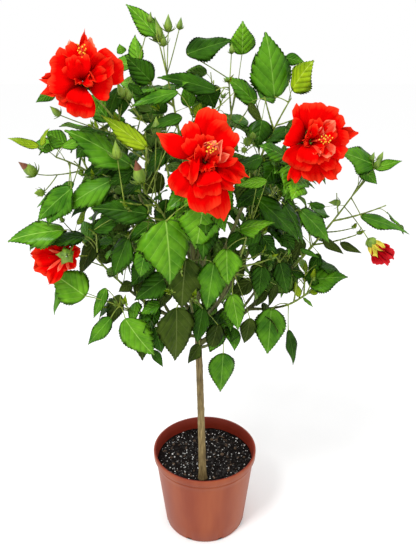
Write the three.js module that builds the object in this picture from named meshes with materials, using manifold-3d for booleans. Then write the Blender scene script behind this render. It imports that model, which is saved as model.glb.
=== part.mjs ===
// Hibiscus grown as a small tree, in a ten-inch nursery pot. Millimetres, +Z up.
// The origin is the centre of the pot's flat underside, and the plant's best side faces -Y.
//
// One bare trunk stands near the front of the pot and forks into boughs. Each bough ends a hair
// short of one mass of foliage: a green stem that carries twigs, stalked leaves and, on some, a
// double flower or buds, all fused to one solid. A mass grows by a seeded rule inside its own
// space, which is every point that lies closer to its stem than to any other stem.

import * as THREE from 'three';
import { mergeVertices } from 'three/addons/utils/BufferGeometryUtils.js';
import Module from 'manifold-3d';

const wasm = await Module();
wasm.setup();

// ---------------------------------------------------------------- driving dimensions

const CLEAR = 0.3; // gap between neighbouring pieces
const SLIVER = 0.02; // details finer than this are merged away

const POT = {
  height: 208,
  rimRadius: 127,
  baseRadius: 100,
  wall: 2.2,
  collar: 17, // height of the stiffened band under the rim
  collarStep: 3, // how far that band stands out of the wall
  segments: 36,
};
const DRAIN = { count: 8, width: 16, height: 8 }; // arched notches round the foot of the wall
const SOIL_TOP = POT.height - 30;

const TRUNK = {
  foot: [-5, -78, SOIL_TOP + CLEAR],
  bend: [-8, -62, 420],
  top: [-18, -45, 640],
  footRadius: 8.5,
  topRadius: 7,
  flare: 2.8, // extra radius at the soil, fading out over flareHeight
  flareHeight: 22,
};

const BOUGH_TAPER = 0.62; // tip radius over root radius

// Boughs: the limb each one leaves, how far along it, the tip, the sag of the curve, root radius.
const BOUGHS = {
  leader: { from: 'trunk', at: 1, tip: [-35, -50, 880], sag: 0, radius: 6.5 },
  top_centre: { from: 'leader', at: 0.3, tip: [35, -40, 930], sag: 25, radius: 4.2 },
  top_left: { from: 'leader', at: 0.12, tip: [-90, -120, 900], sag: 45, radius: 4.5 },
  rear_left: { from: 'leader', at: 0.2, tip: [-75, 30, 880], sag: 20, radius: 3.8 },
  back_top: { from: 'leader', at: 0.55, tip: [10, 50, 950], sag: 20, radius: 3.8 },
  top_right: { from: 'trunk', at: 0.965, tip: [100, -50, 900], sag: 45, radius: 4.8 },
  right_high: { from: 'top_right', at: 0.4, tip: [120, -95, 850], sag: 14, radius: 3.8 },
  rear_right: { from: 'top_right', at: 0.25, tip: [125, 10, 820], sag: 14, radius: 3.8 },
  high_left: { from: 'trunk', at: 0.97, tip: [-140, -10, 860], sag: 35, radius: 4 },
  left_high: { from: 'trunk', at: 0.935, tip: [-160, -100, 850], sag: 45, radius: 4.8 },
  left: { from: 'trunk', at: 0.84, tip: [-150, -100, 670], sag: 25, radius: 5 },
  left_low: { from: 'trunk', at: 0.78, tip: [-100, -120, 610], sag: 15, radius: 3.8 },
  side_left: { from: 'left', at: 0.4, tip: [-125, -20, 690], sag: 12, radius: 3.6 },
  front: { from: 'trunk', at: 0.958, tip: [5, -165, 800], sag: 45, radius: 4.6 },
  front_left: { from: 'trunk', at: 0.89, tip: [-60, -150, 800], sag: 40, radius: 4.2 },
  front_low: { from: 'trunk', at: 0.82, tip: [-25, -165, 670], sag: 20, radius: 3.8 },
  front_right: { from: 'trunk', at: 0.86, tip: [50, -160, 715], sag: 30, radius: 4.2 },
  right_mid: { from: 'trunk', at: 0.915, tip: [85, -120, 790], sag: 40, radius: 4.4 },
  right: { from: 'trunk', at: 0.74, tip: [185, -65, 710], sag: 28, radius: 6 },
  right_low: { from: 'right', at: 0.55, tip: [160, -110, 640], sag: 6, radius: 3.6 },
  side_right: { from: 'right', at: 0.35, tip: [130, 10, 650], sag: 8, radius: 3.6 },
  low: { from: 'trunk', at: 0.72, tip: [35, -110, 570], sag: 10, radius: 3.4 },
  back: { from: 'trunk', at: 0.92, tip: [0, 80, 770], sag: 40, radius: 4.6 },
  back_left: { from: 'trunk', at: 0.86, tip: [-120, 60, 740], sag: 35, radius: 4.8 },
  back_right: { from: 'trunk', at: 0.82, tip: [115, 60, 730], sag: 35, radius: 4.8 },
  back_low: { from: 'trunk', at: 0.76, tip: [5, 65, 610], sag: 18, radius: 3.8 },
};

// Masses, one on each bough: where the stem ends, how many twigs and leaves it carries, the
// length of a full leaf and how much the leaves hang. key holds the leaves that stand alone at
// the crown's edge: [foot of the blade, tip, width]. bloom is [centre, facing, radius], and buds
// are [centre, length]. A mass's seed follows from its place in the table.
const SEED = { first: 1, step: 1 };
const MASSES = {
  leader: {
    tip: [-70, -110, 1110], twigs: 2, leaves: 8, leaf: 80, droop: 0.35,
    key: [[[-80, -120, 1150], [-125, -135, 1200], 42]],
    buds: [[[-70, -110, 1145], 24], [[-40, -100, 1170], 20]],
  },
  top_centre: {
    tip: [65, -60, 1075], twigs: 2, leaves: 8, leaf: 78, droop: 0.3,
    key: [
      [[70, -60, 1120], [70, -90, 1170], 40],
      [[-30, -95, 1120], [55, -75, 1150], 34],
    ],
    buds: [[[50, -85, 1130], 18]],
  },
  top_right: {
    tip: [160, -85, 1045], twigs: 2, leaves: 8, leaf: 82, droop: 0.4,
    key: [
      [[130, -85, 1045], [115, -95, 1155], 65],
      [[160, -90, 1060], [185, -120, 1110], 45],
    ],
  },
  top_left: {
    tip: [-140, -200, 1010], twigs: 2, leaves: 8, leaf: 80, droop: 0.5,
    bloom: [[-175, -270, 1085], [-0.35, -0.85, 0.45], 64],
    buds: [[[-235, -235, 1035], 22]],
  },
  left_high: {
    tip: [-260, -160, 950], twigs: 2, leaves: 8, leaf: 82, droop: 0.5,
    key: [[[-235, -190, 900], [-280, -210, 845], 50]],
    buds: [[[-305, -185, 935], 26]],
  },
  left: {
    tip: [-240, -150, 810], twigs: 2, leaves: 8, leaf: 84, droop: 0.6,
    key: [[[-250, -190, 825], [-350, -215, 825], 46]],
    bloom: [[-260, -205, 770], [-0.75, -0.5, -0.35], 38],
    buds: [[[-260, -165, 840], 16]],
  },
  left_low: {
    tip: [-165, -155, 660], twigs: 2, leaves: 8, leaf: 82, droop: 0.8,
    key: [
      [[-150, -190, 650], [-100, -205, 570], 65],
      [[-225, -175, 690], [-280, -190, 745], 60],
    ],
  },
  front_left: {
    tip: [-100, -235, 905], twigs: 2, leaves: 8, leaf: 86, droop: 0.7,
    key: [[[-120, -215, 945], [-215, -235, 1010], 50]],
    buds: [[[-105, -245, 940], 30]],
  },
  front: {
    tip: [5, -260, 905], twigs: 2, leaves: 8, leaf: 84, droop: 0.8,
    key: [
      [[-60, -285, 870], [-50, -300, 765], 85],
      [[0, -275, 890], [-10, -290, 820], 60],
    ],
    bloom: [[5, -320, 955], [0.1, -0.98, 0], 68],
  },
  front_low: {
    tip: [-40, -230, 760], twigs: 2, leaves: 8, leaf: 88, droop: 0.9,
    key: [[[-50, -215, 685], [-50, -225, 575], 70]],
  },
  front_right: {
    tip: [75, -235, 830], twigs: 2, leaves: 8, leaf: 82, droop: 0.7,
    key: [
      [[60, -255, 845], [115, -265, 865], 35],
      [[40, -250, 810], [40, -260, 745], 45],
    ],
  },
  right: {
    tip: [290, -115, 885], twigs: 2, leaves: 8, leaf: 82, droop: 0.6,
    key: [
      [[290, -150, 840], [385, -170, 820], 30],
      [[315, -120, 930], [245, -150, 960], 45],
    ],
    buds: [[[245, -125, 860], 24], [[320, -195, 785], 52]],
  },
  right_mid: { tip: [160, -185, 850], twigs: 2, leaves: 8, leaf: 88, droop: 0.7 },
  right_high: {
    tip: [170, -190, 945], twigs: 2, leaves: 8, leaf: 80, droop: 0.6,
    bloom: [[185, -240, 980], [0.25, -0.9, 0.3], 62],
  },
  right_low: {
    tip: [225, -125, 695], twigs: 2, leaves: 8, leaf: 80, droop: 0.8,
    key: [
      [[205, -120, 700], [280, -135, 720], 55],
      [[135, -130, 645], [130, -150, 550], 65],
    ],
  },
  low: {
    tip: [60, -140, 615], twigs: 2, leaves: 8, leaf: 76, droop: 0.9,
    key: [[[40, -115, 535], [35, -125, 445], 50]],
  },
  back_left: { tip: [-215, 150, 890], twigs: 2, leaves: 8, leaf: 86, droop: 0.5 },
  back: { tip: [-10, 215, 910], twigs: 2, leaves: 8, leaf: 86, droop: 0.5 },
  back_right: { tip: [225, 150, 880], twigs: 2, leaves: 8, leaf: 86, droop: 0.5 },
  back_top: { tip: [20, 110, 1070], twigs: 2, leaves: 8, leaf: 82, droop: 0.4 },
  back_low: { tip: [30, 160, 680], twigs: 2, leaves: 8, leaf: 84, droop: 0.8 },
  side_left: { tip: [-235, 10, 760], twigs: 2, leaves: 8, leaf: 84, droop: 0.7 },
  side_right: { tip: [215, 50, 660], twigs: 2, leaves: 8, leaf: 84, droop: 0.7 },
  rear_left: { tip: [-120, 90, 1010], twigs: 2, leaves: 8, leaf: 82, droop: 0.5 },
  rear_right: { tip: [225, 30, 940], twigs: 2, leaves: 8, leaf: 82, droop: 0.5 },
  high_left: { tip: [-225, 20, 980], twigs: 2, leaves: 8, leaf: 82, droop: 0.5 },
};

const GROWTH = {
  golden: THREE.MathUtils.degToRad(137.5), // turn from one leaf or twig to the next
  margin: 3, // how much closer a point is to its own stem than to any other
  limbGap: 4, // clear way between a leaf and a bough
  leafTries: 14,
  twigTries: 8,
  leafSpacing: 0.62, // middle to middle, in leaf lengths
  stemRoot: 2.7, // least radius where a stem starts
  stemTip: 2.4,
  twigRoot: 2,
  twigTip: 1.8,
  petiole: 0.85,
};

const COLOURS = {
  pot: 0xaa5a41,
  soil: 0x2c2421,
  bark: 0x6b5a3c,
  bough: 0x6f6a3a,
  foliage: [0x2f5f22, 0x3f7d2b, 0x5c9a30], // low and inner masses are dark, the top is bright
};

// ---------------------------------------------------------------- vectors, curves and chance

const UP = new THREE.Vector3(0, 0, 1);
const CHORDS = 12; // a curve's length is measured along this many chords

const vector = (xyz) => new THREE.Vector3(...xyz);
const cross = (a, b) => a.clone().cross(b);
const along = (start, direction, distance) => start.clone().addScaledVector(direction, distance);
const degrees = (angle) => THREE.MathUtils.degToRad(angle);

// A seeded stream of numbers from 0 to 1.
function stream(seed) {
  const modulus = 4294967296;
  let state = seed * 7919 + 17;
  const draw = () => {
    state = (state * 1664525 + 1013904223) % modulus;
    return state / modulus;
  };
  for (let warmUp = 0; warmUp < 4; warmUp += 1) draw();
  return draw;
}

function heading(curve, t) {
  const start = curve.v1.clone().sub(curve.v0).multiplyScalar(1 - t);
  const end = curve.v2.clone().sub(curve.v1).multiplyScalar(t);
  return start.add(end).normalize();
}

function lengthOf(curve) {
  let total = 0;
  for (let i = 0; i < CHORDS; i += 1) {
    total += curve.getPoint(i / CHORDS).distanceTo(curve.getPoint((i + 1) / CHORDS));
  }
  return total;
}

// The direction that leaves a stem at an angle, turned round it by azimuth.
function spread(stem, azimuth, angle) {
  const sideways = cross(stem, UP);
  const side = sideways.lengthSq() > 0.0225 ? sideways.normalize() : new THREE.Vector3(1, 0, 0);
  const other = cross(side, stem);
  const round = side.multiplyScalar(Math.cos(azimuth)).addScaledVector(other, Math.sin(azimuth));
  return stem.clone().multiplyScalar(Math.cos(angle)).addScaledVector(round, Math.sin(angle)).normalize();
}

// Away from the crown's middle line, level.
const outward = (point) => new THREE.Vector3(point.x + 15, point.y + 50, 0).normalize();

// The part of lean that is square to direction.
const squareTo = (direction, lean) => along(lean, direction, -lean.dot(direction)).normalize();

// ---------------------------------------------------------------- limbs

function limbPlan() {
  const limbs = {
    trunk: {
      curve: new THREE.QuadraticBezierCurve3(vector(TRUNK.foot), vector(TRUNK.bend), vector(TRUNK.top)),
      root: TRUNK.footRadius,
      end: TRUNK.topRadius,
    },
  };
  for (const [name, { from, at, tip, sag, radius }] of Object.entries(BOUGHS)) {
    const parent = limbs[from].curve;
    const end = vector(tip);
    let start = parent.getPoint(at);
    let bend = start.clone().add(end).multiplyScalar(0.5).addScaledVector(UP, -sag);
    if (at === 1) {
      start = along(start, heading(parent, 1), CLEAR);
      bend = along(start, heading(parent, 1), start.distanceTo(end) * 0.4);
    }
    limbs[name] = {
      curve: new THREE.QuadraticBezierCurve3(start, bend, end),
      root: radius,
      end: radius * BOUGH_TAPER,
    };
  }
  return limbs;
}

// ---------------------------------------------------------------- masses: what grows where

// A mass's stem and the skeleton that its own space is measured from.
function massPlan(name, limb) {
  const { tip, key = [], bloom, buds = [] } = MASSES[name];
  const way = heading(limb.curve, 1);
  const start = along(limb.curve.getPoint(1), way, CLEAR);
  const end = vector(tip);
  const stem = new THREE.QuadraticBezierCurve3(start, along(start, way, start.distanceTo(end) * 0.45), end);
  const skeleton = [];
  for (let i = 0; i < 6; i += 1) {
    skeleton.push({ a: stem.getPoint(i / 6), b: stem.getPoint((i + 1) / 6), radius: 0 });
  }
  if (bloom) {
    const centre = vector(bloom[0]);
    skeleton.push({ a: centre, b: centre, radius: bloom[2] * 0.95 });
    skeleton.push({ a: end, b: centre, radius: 0 });
  }
  for (const [foot, point, width] of key) {
    skeleton.push({ a: vector(foot), b: vector(point), radius: width * 0.4 });
  }
  for (const [centre, size] of buds) {
    skeleton.push({ a: vector(centre), b: vector(centre), radius: size * 0.5 });
    skeleton.push({ a: stem.getPoint(0.9), b: vector(centre), radius: 0 });
  }
  return { name, stem, radius: Math.max(limb.end * 0.95, GROWTH.stemRoot), skeleton, ...MASSES[name], key, buds };
}

function reach(point, { a, b, radius }) {
  const span = b.clone().sub(a);
  const share = point.clone().sub(a).dot(span) / Math.max(span.lengthSq(), 1e-9);
  return point.distanceTo(along(a, span, THREE.MathUtils.clamp(share, 0, 1))) - radius;
}

// A test for points: all in a mass's own space, and all clear of the limbs.
function spaceTest(mass, masses, limbs) {
  const others = masses.filter((other) => other !== mass).flatMap((other) => other.skeleton);
  const bars = Object.values(limbs).flatMap(({ curve, root, end }) => {
    const pieces = [];
    for (let i = 0; i < 8; i += 1) {
      const radius = root + ((end - root) * i) / 8;
      pieces.push({ a: curve.getPoint(i / 8), b: curve.getPoint((i + 1) / 8), radius });
    }
    return pieces;
  });
  return (points) => points.every((point) => {
    const own = Math.min(...mass.skeleton.map((piece) => reach(point, piece)));
    return others.every((piece) => reach(point, piece) >= own + GROWTH.margin)
      && bars.every((piece) => reach(point, piece) > GROWTH.limbGap);
  });
}

function growTwigs(mass, free, random) {
  const twigs = [];
  const full = lengthOf(mass.stem);
  for (let j = 0; j < mass.twigs; j += 1) {
    const t = 0.12 + (0.7 * (j + 0.3 + 0.4 * random())) / mass.twigs;
    const start = mass.stem.getPoint(t);
    const way = heading(mass.stem, t);
    let azimuth = j * GROWTH.golden + random() * 2 * Math.PI;
    for (let tries = 0; tries < GROWTH.twigTries; tries += 1) {
      const direction = spread(way, azimuth, degrees(48)).addScaledVector(UP, 0.25).normalize();
      const length = (0.34 + 0.3 * random()) * full * (1 - 0.4 * t) + 14;
      const bend = along(along(start, direction, length * 0.5), UP, -length * 0.06);
      const twig = new THREE.QuadraticBezierCurve3(start, bend, along(start, direction, length));
      if (free([twig.v2, along(twig.v2, direction, 12), twig.getPoint(0.6)])) {
        twigs.push(twig);
        break;
      }
      azimuth += Math.PI / 4;
    }
  }
  return twigs;
}

// A leaf that the table places: it hangs from the nearest point of the stem.
function keyLeaf(mass, [foot, tip, width]) {
  const start = vector(foot);
  const span = vector(tip).sub(start);
  const direction = span.clone().normalize();
  let root = mass.stem.getPoint(0.2);
  for (let i = 5; i < 20; i += 1) {
    const point = mass.stem.getPoint(i / 20);
    if (point.distanceTo(start) < root.distanceTo(start)) root = point;
  }
  return {
    root,
    foot: start,
    direction,
    normal: squareTo(direction, new THREE.Vector3(0, -0.8, 0.6)),
    length: span.length(),
    width,
    middle: along(start, direction, span.length() * 0.4),
  };
}

function growLeaves(mass, twigs, free, random) {
  const leaves = mass.key.map((placed) => keyLeaf(mass, placed));
  const shoots = [
    { curve: mass.stem, count: mass.leaves * (twigs.length ? 0.5 : 1), first: 0.05, youth: 1 },
    ...twigs.map((curve) => ({ curve, count: (mass.leaves * 0.5) / twigs.length, first: 0.3, youth: 0.7 })),
  ];
  const clearOfBloom = (point) => !mass.bloom || point.distanceTo(vector(mass.bloom[0])) > mass.bloom[2] * 0.95;
  for (const { curve, count, first, youth } of shoots) {
    const number = Math.max(2, Math.floor(count + 0.5));
    const phase = random() * 2 * Math.PI;
    for (let i = 0; i < number; i += 1) {
      const t = first + ((0.985 - first) * (i + 0.6)) / number;
      const young = youth * t * t;
      let azimuth = phase + i * GROWTH.golden;
      for (let tries = 0; tries < GROWTH.leafTries; tries += 1) {
        const small = tries < GROWTH.leafTries / 2 ? 1 : 0.78;
        const length = mass.leaf * (0.78 + 0.4 * random()) * (1 - 0.42 * young) * small;
        const width = length * (0.6 + 0.18 * random());
        const stalk = length * (0.3 + 0.28 * random());
        const root = curve.getPoint(t);
        const rise = spread(heading(curve, t), azimuth, degrees(52 + 16 * random()));
        const stalkWay = rise.addScaledVector(UP, 0.12).normalize();
        const foot = along(root, stalkWay, stalk);
        const out = outward(foot);
        const hang = mass.droop * (0.5 + random());
        const direction = stalkWay.clone().multiplyScalar(0.75).addScaledVector(out, 0.3);
        direction.addScaledVector(UP, -hang).normalize();
        const normal = squareTo(direction, out.multiplyScalar(0.75).addScaledVector(UP, 0.75));
        const side = cross(direction, normal);
        const middle = along(foot, direction, length * 0.4);
        const outline = [
          along(root, stalkWay, stalk * 0.6),
          foot,
          along(foot, direction, length),
          middle,
          along(middle, side, width * 0.5),
          along(middle, side, -width * 0.5),
          along(foot, direction, length * 0.75),
        ];
        const spaced = leaves.every((leaf) => leaf.middle.distanceTo(middle) > GROWTH.leafSpacing * length);
        if (spaced && outline.every(clearOfBloom) && free(outline)) {
          leaves.push({ root, foot, direction, normal, length, width, middle });
          break;
        }
        azimuth += 0.9;
      }
    }
  }
  return leaves;
}

// ---------------------------------------------------------------- geometry to solid and back

function solidOf(geometry) {
  const bare = geometry.clone();
  bare.deleteAttribute('normal');
  bare.deleteAttribute('uv');
  const merged = mergeVertices(bare, 1e-4);
  return new wasm.Manifold(new wasm.Mesh({
    numProp: 3,
    vertProperties: new Float32Array(merged.attributes.position.array),
    triVerts: new Uint32Array(merged.index.array),
  }));
}

function geometryOf(solid) {
  const { vertProperties, triVerts } = solid.simplify(SLIVER).getMesh();
  const geometry = new THREE.BufferGeometry();
  geometry.setAttribute('position', new THREE.BufferAttribute(vertProperties, 3));
  geometry.setIndex(new THREE.BufferAttribute(triVerts, 1));
  return geometry;
}

// Moves every vertex of a geometry to where place puts it.
function reshape(geometry, place) {
  const { position } = geometry.attributes;
  for (let i = 0; i < position.count; i += 1) {
    const { x, y, z } = place(new THREE.Vector3().fromBufferAttribute(position, i));
    position.setXYZ(i, x, y, z);
  }
  return geometry;
}

// A rod with flat ends along a curve. side stays square to it without twisting.
function rod(curve, radiusAt, sides, steps) {
  const chord = curve.v2.clone().sub(curve.v0).normalize();
  const start = Math.abs(chord.z) < 0.8 ? UP : new THREE.Vector3(1, 0, 0);
  const lead = squareTo(chord, start);
  return solidOf(reshape(new THREE.CylinderGeometry(1, 1, 1, sides, steps), ({ x, y, z }) => {
    const t = y + 0.5;
    const way = heading(curve, t);
    const side = squareTo(way, lead);
    const other = cross(side, way);
    const radius = radiusAt(t);
    return along(along(curve.getPoint(t), side, x * radius), other, z * radius);
  }));
}

const straight = (a, b) => new THREE.QuadraticBezierCurve3(a, a.clone().add(b).multiplyScalar(0.5), b);
const taper = (root, end) => (t) => THREE.MathUtils.lerp(root, end, t);

// A blade with three edges, two at its sides and a keel, drawn out of a sphere row by row: the
// root sunk in the shoot, the stalk, the foot of the blade, its widest place, its shoulder where
// it has one, and its tip.
function blade({ root, foot, direction, normal, length, width, stalkRadius, curl, depth, shoulder }) {
  const stalkWay = foot.clone().sub(root).normalize();
  const elbow = stalkWay.clone().add(direction).normalize();
  const down = normal.clone().multiplyScalar(-curl * length);
  const spine = (share) => along(along(foot, direction, share * length), down, share * share);
  const rows = [
    { at: along(root, stalkWay, -0.8), way: stalkWay, half: 0, deep: 0 },
    { at: root, way: stalkWay, half: stalkRadius, deep: stalkRadius },
    { at: foot, way: elbow, half: stalkRadius * 1.1, deep: stalkRadius * 0.9 },
    { at: spine(0.38), way: direction, half: width / 2, deep: depth },
    { at: spine(1), way: direction, half: 0, deep: 0 },
  ];
  if (shoulder) {
    rows.splice(4, 0, { at: spine(0.72), way: direction, half: width * 0.31, deep: depth * 0.8 });
  }
  const last = rows.length - 1;
  const flat = cross(direction, normal);
  return solidOf(reshape(new THREE.SphereGeometry(1, 3, last), ({ x, y, z }) => {
    const row = Math.round((Math.acos(THREE.MathUtils.clamp(y, -1, 1)) / Math.PI) * last);
    const { at, way, half, deep } = rows[row];
    const ring = Math.max(Math.hypot(x, z), 1e-6);
    const side = squareTo(way, flat);
    const above = cross(side, way);
    const sideways = (z / ring / Math.sin(Math.PI / 3)) * half;
    return along(along(at, side, sideways), above, (x / ring) * deep);
  }));
}

// ---------------------------------------------------------------- flowers and buds

// A double flower: a short throat, five spreading petals, five smaller ones that stand up in
// front of them, and the column.
function bloomSolids([centreAt, facingAt, radius]) {
  const centre = vector(centreAt);
  const facing = vector(facingAt).normalize();
  const side = squareTo(facing, UP);
  const other = cross(facing, side);
  const heart = along(centre, facing, -radius * 0.3);
  const solids = [solidOf(reshape(new THREE.SphereGeometry(radius * 0.2, 5, 3), (p) => p.add(heart)))];
  const whorls = [
    { lean: 76, turn: 0, length: 0.98, width: 0.68 },
    { lean: 40, turn: 36, length: 0.7, width: 0.4 },
  ];
  for (const { lean, turn, length, width } of whorls) {
    for (let i = 0; i < 5; i += 1) {
      const angle = degrees(turn + i * 72);
      const round = side.clone().multiplyScalar(Math.cos(angle)).addScaledVector(other, Math.sin(angle));
      const direction = facing.clone().multiplyScalar(Math.cos(degrees(lean)));
      direction.addScaledVector(round, Math.sin(degrees(lean)));
      solids.push(blade({
        root: along(heart, direction, radius * 0.02),
        foot: along(heart, direction, radius * 0.12),
        direction,
        normal: squareTo(direction, facing),
        length: radius * length,
        width: radius * width,
        stalkRadius: radius * 0.07,
        curl: 0.12,
        depth: 1.4,
        shoulder: true,
      }));
    }
  }
  solids.push(rod(straight(heart, along(heart, facing, radius * 0.75)), taper(3.2, 2), 4, 1));
  return { solids, heart };
}

function budSolids(mass, [centreAt, size]) {
  const centre = vector(centreAt);
  const root = mass.stem.getPoint(0.9);
  const way = centre.clone().sub(root).normalize();
  const side = squareTo(way, Math.abs(way.z) < 0.9 ? UP : new THREE.Vector3(1, 0, 0));
  const other = cross(side, way);
  const bud = reshape(new THREE.SphereGeometry(1, 5, 4), ({ x, y, z }) => {
    const point = along(centre, way, y * size * 0.5);
    return along(along(point, side, x * size * 0.22), other, z * size * 0.22);
  });
  return [solidOf(bud), rod(straight(root, centre), taper(1.2, 1.2), 3, 1)];
}

// ---------------------------------------------------------------- pot and soil

function potWall() {
  const { height, rimRadius, baseRadius, wall, collar, collarStep } = POT;
  const wallTop = rimRadius - collarStep;
  const outside = (z) => THREE.MathUtils.lerp(baseRadius, wallTop, z / height);
  return { height, rimRadius, wall, collar, outside, inside: (z) => outside(z) - wall };
}

function potSolid() {
  const { height, rimRadius, wall, collar, outside, inside } = potWall();
  const shoulder = height - collar;
  const profile = [
    [0, 0],
    [outside(0) - 4, 0],
    [outside(3), 3],
    [outside(shoulder - 10), shoulder - 10],
    [outside(shoulder - 8) + 0.8, shoulder - 8],
    [outside(shoulder - 6), shoulder - 6],
    [outside(shoulder), shoulder],
    [rimRadius - 0.6, shoulder + 1],
    [rimRadius, height - 1],
    [rimRadius - 1, height],
    [inside(height), height],
    [inside(wall), wall],
    [0, wall],
  ].map(([radius, z]) => new THREE.Vector2(radius, z));
  let solid = solidOf(new THREE.LatheGeometry(profile, POT.segments).rotateX(Math.PI / 2));
  for (let i = 0; i < DRAIN.count; i += 1) {
    const arch = new THREE.CylinderGeometry(DRAIN.width / 2, DRAIN.width / 2, wall * 6, 8);
    arch.rotateZ(Math.PI / 2).scale(1, 1, (2 * DRAIN.height) / DRAIN.width);
    arch.translate(POT.baseRadius - wall, 0, 0).rotateZ(((i + 0.5) / DRAIN.count) * 2 * Math.PI);
    solid = solid.subtract(solidOf(arch));
  }
  return solid;
}

function soilSolid() {
  const { wall, inside } = potWall();
  const bottom = wall + CLEAR;
  const profile = [
    [0, bottom],
    [inside(bottom) - CLEAR, bottom],
    [inside(SOIL_TOP) - CLEAR, SOIL_TOP],
    [0, SOIL_TOP],
  ].map(([radius, z]) => new THREE.Vector2(radius, z));
  return solidOf(new THREE.LatheGeometry(profile, POT.segments).rotateX(Math.PI / 2));
}

// ---------------------------------------------------------------- trunk and boughs

function limbRadius(name, { root, end }, extra) {
  const length = TRUNK.top[2] - TRUNK.foot[2];
  return (t) => {
    const flare = name === 'trunk' ? TRUNK.flare * Math.exp((-t * length) / TRUNK.flareHeight) : 0;
    return THREE.MathUtils.lerp(root, end, t) + flare + extra;
  };
}

function trunkSolid(limb) {
  const deeper = new THREE.QuadraticBezierCurve3(along(limb.curve.v0, UP, -6), limb.curve.v1, limb.curve.v2);
  const whole = rod(deeper, limbRadius('trunk', limb, 0), 10, 10);
  const soil = new THREE.BoxGeometry(60, 60, 60).translate(TRUNK.foot[0], TRUNK.foot[1], TRUNK.foot[2] - 30);
  return whole.subtract(solidOf(soil));
}

// The largest piece of a solid that a cut may have split.
function largest(solid) {
  return solid.decompose().sort((a, b) => b.volume() - a.volume())[0];
}

function boxesMeet(a, b, gap) {
  const [p, q] = [a.boundingBox(), b.boundingBox()];
  return [0, 1, 2].every((i) => p.min[i] - gap <= q.max[i] && q.min[i] - gap <= p.max[i]);
}

// Every bough is cut back to CLEAR from each limb made before it.
function limbSolids(limbs) {
  const solids = { trunk: trunkSolid(limbs.trunk) };
  const fat = { trunk: rod(limbs.trunk.curve, limbRadius('trunk', limbs.trunk, CLEAR), 10, 10) };
  for (const [name, limb] of Object.entries(limbs).filter(([key]) => key !== 'trunk')) {
    let solid = rod(limb.curve, limbRadius(name, limb, 0), 5, 4);
    for (const other of Object.values(fat)) {
      if (boxesMeet(solid, other, CLEAR)) solid = solid.subtract(other);
    }
    solids[name] = largest(solid);
    fat[name] = rod(limb.curve, limbRadius(name, limb, CLEAR), 5, 4);
  }
  return solids;
}

// ---------------------------------------------------------------- foliage solids

// The stem with what it always carries: twigs, placed leaves, flower and buds.
function coreSolid(mass) {
  const solids = [rod(mass.stem, taper(mass.radius, GROWTH.stemTip), 5, 4)];
  for (const twig of mass.twigCurves) {
    solids.push(rod(twig, taper(GROWTH.twigRoot, GROWTH.twigTip), 3, 2));
  }
  for (const leaf of mass.grown.slice(0, mass.key.length)) {
    solids.push(leafSolid(leaf, true));
  }
  if (mass.bloom) {
    const { solids: flower, heart } = bloomSolids(mass.bloom);
    solids.push(...flower, rod(straight(mass.stem.getPoint(0.97), heart), taper(1.8, 2), 4, 1));
  }
  for (const bud of mass.buds) {
    solids.push(...budSolids(mass, bud));
  }
  return wasm.Manifold.union(solids);
}

function leafSolid(leaf, shoulder) {
  return blade({ ...leaf, stalkRadius: GROWTH.petiole, curl: 0.14, depth: leaf.length * 0.014, shoulder });
}

function foliageSolids(masses, limbs) {
  const solids = Object.fromEntries(masses.map((mass) => [mass.name, coreSolid(mass)]));
  for (const mass of masses) {
    const others = Object.entries(solids).filter(([name]) => name !== mass.name).map(([, solid]) => solid);
    const around = [...others, ...Object.values(limbs)];
    const clear = (leaf) => around.every((solid) => !boxesMeet(solid, leaf, 1) || solid.minGap(leaf, 1) > CLEAR);
    const leaves = mass.grown.slice(mass.key.length).map((leaf) => leafSolid(leaf, false)).filter(clear);
    solids[mass.name] = largest(wasm.Manifold.union([solids[mass.name], ...leaves]));
  }
  return solids;
}

// ---------------------------------------------------------------- the whole plant

function foliageColour({ tip: [, y, z] }) {
  const light = THREE.MathUtils.clamp((z - 640 - y) / 260, 0, 2);
  return COLOURS.foliage[Math.round(light)];
}

const limbs = limbPlan();
const masses = Object.keys(MASSES).map((name) => massPlan(name, limbs[name]));
for (const [order, mass] of masses.entries()) {
  const free = spaceTest(mass, masses, limbs);
  const random = stream(SEED.first + SEED.step * order);
  mass.twigCurves = growTwigs(mass, free, random);
  mass.grown = growLeaves(mass, mass.twigCurves, free, random);
}

const plant = new THREE.Group();

function addPiece(name, solid, color, roughness) {
  const mesh = new THREE.Mesh(geometryOf(solid), new THREE.MeshStandardMaterial({ color, roughness, metalness: 0 }));
  mesh.name = name;
  plant.add(mesh);
}

addPiece('pot', potSolid(), COLOURS.pot, 0.5);
addPiece('soil', soilSolid(), COLOURS.soil, 1);

const wood = limbSolids(limbs);
for (const [name, solid] of Object.entries(wood)) {
  const isTrunk = name === 'trunk';
  addPiece(isTrunk ? 'trunk' : `bough_${name}`, solid, isTrunk ? COLOURS.bark : COLOURS.bough, 0.85);
}

const foliage = foliageSolids(masses, wood);
for (const mass of masses) {
  addPiece(`mass_${mass.name}`, foliage[mass.name], foliageColour(mass), 0.55);
}

export default plant;
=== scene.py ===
# %% [markdown]
# # A hibiscus grown as a small tree
#
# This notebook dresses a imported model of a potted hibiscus: a bare trunk in a filled nursery pot,
# boughs that fork from it, and a round crown of toothed leaves with double red flowers. The packed
# model gives every size and place. Its solids are plain and few, so each step below puts a finer
# mesh in the place of some of them: bark, twigs, leaves, buds, petals, the moulded pot, the soil.
#
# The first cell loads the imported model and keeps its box, to compare with at the end.

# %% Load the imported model
import math

import bmesh
import bpy
import numpy as np
from mathutils import Matrix, Vector, noise


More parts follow.
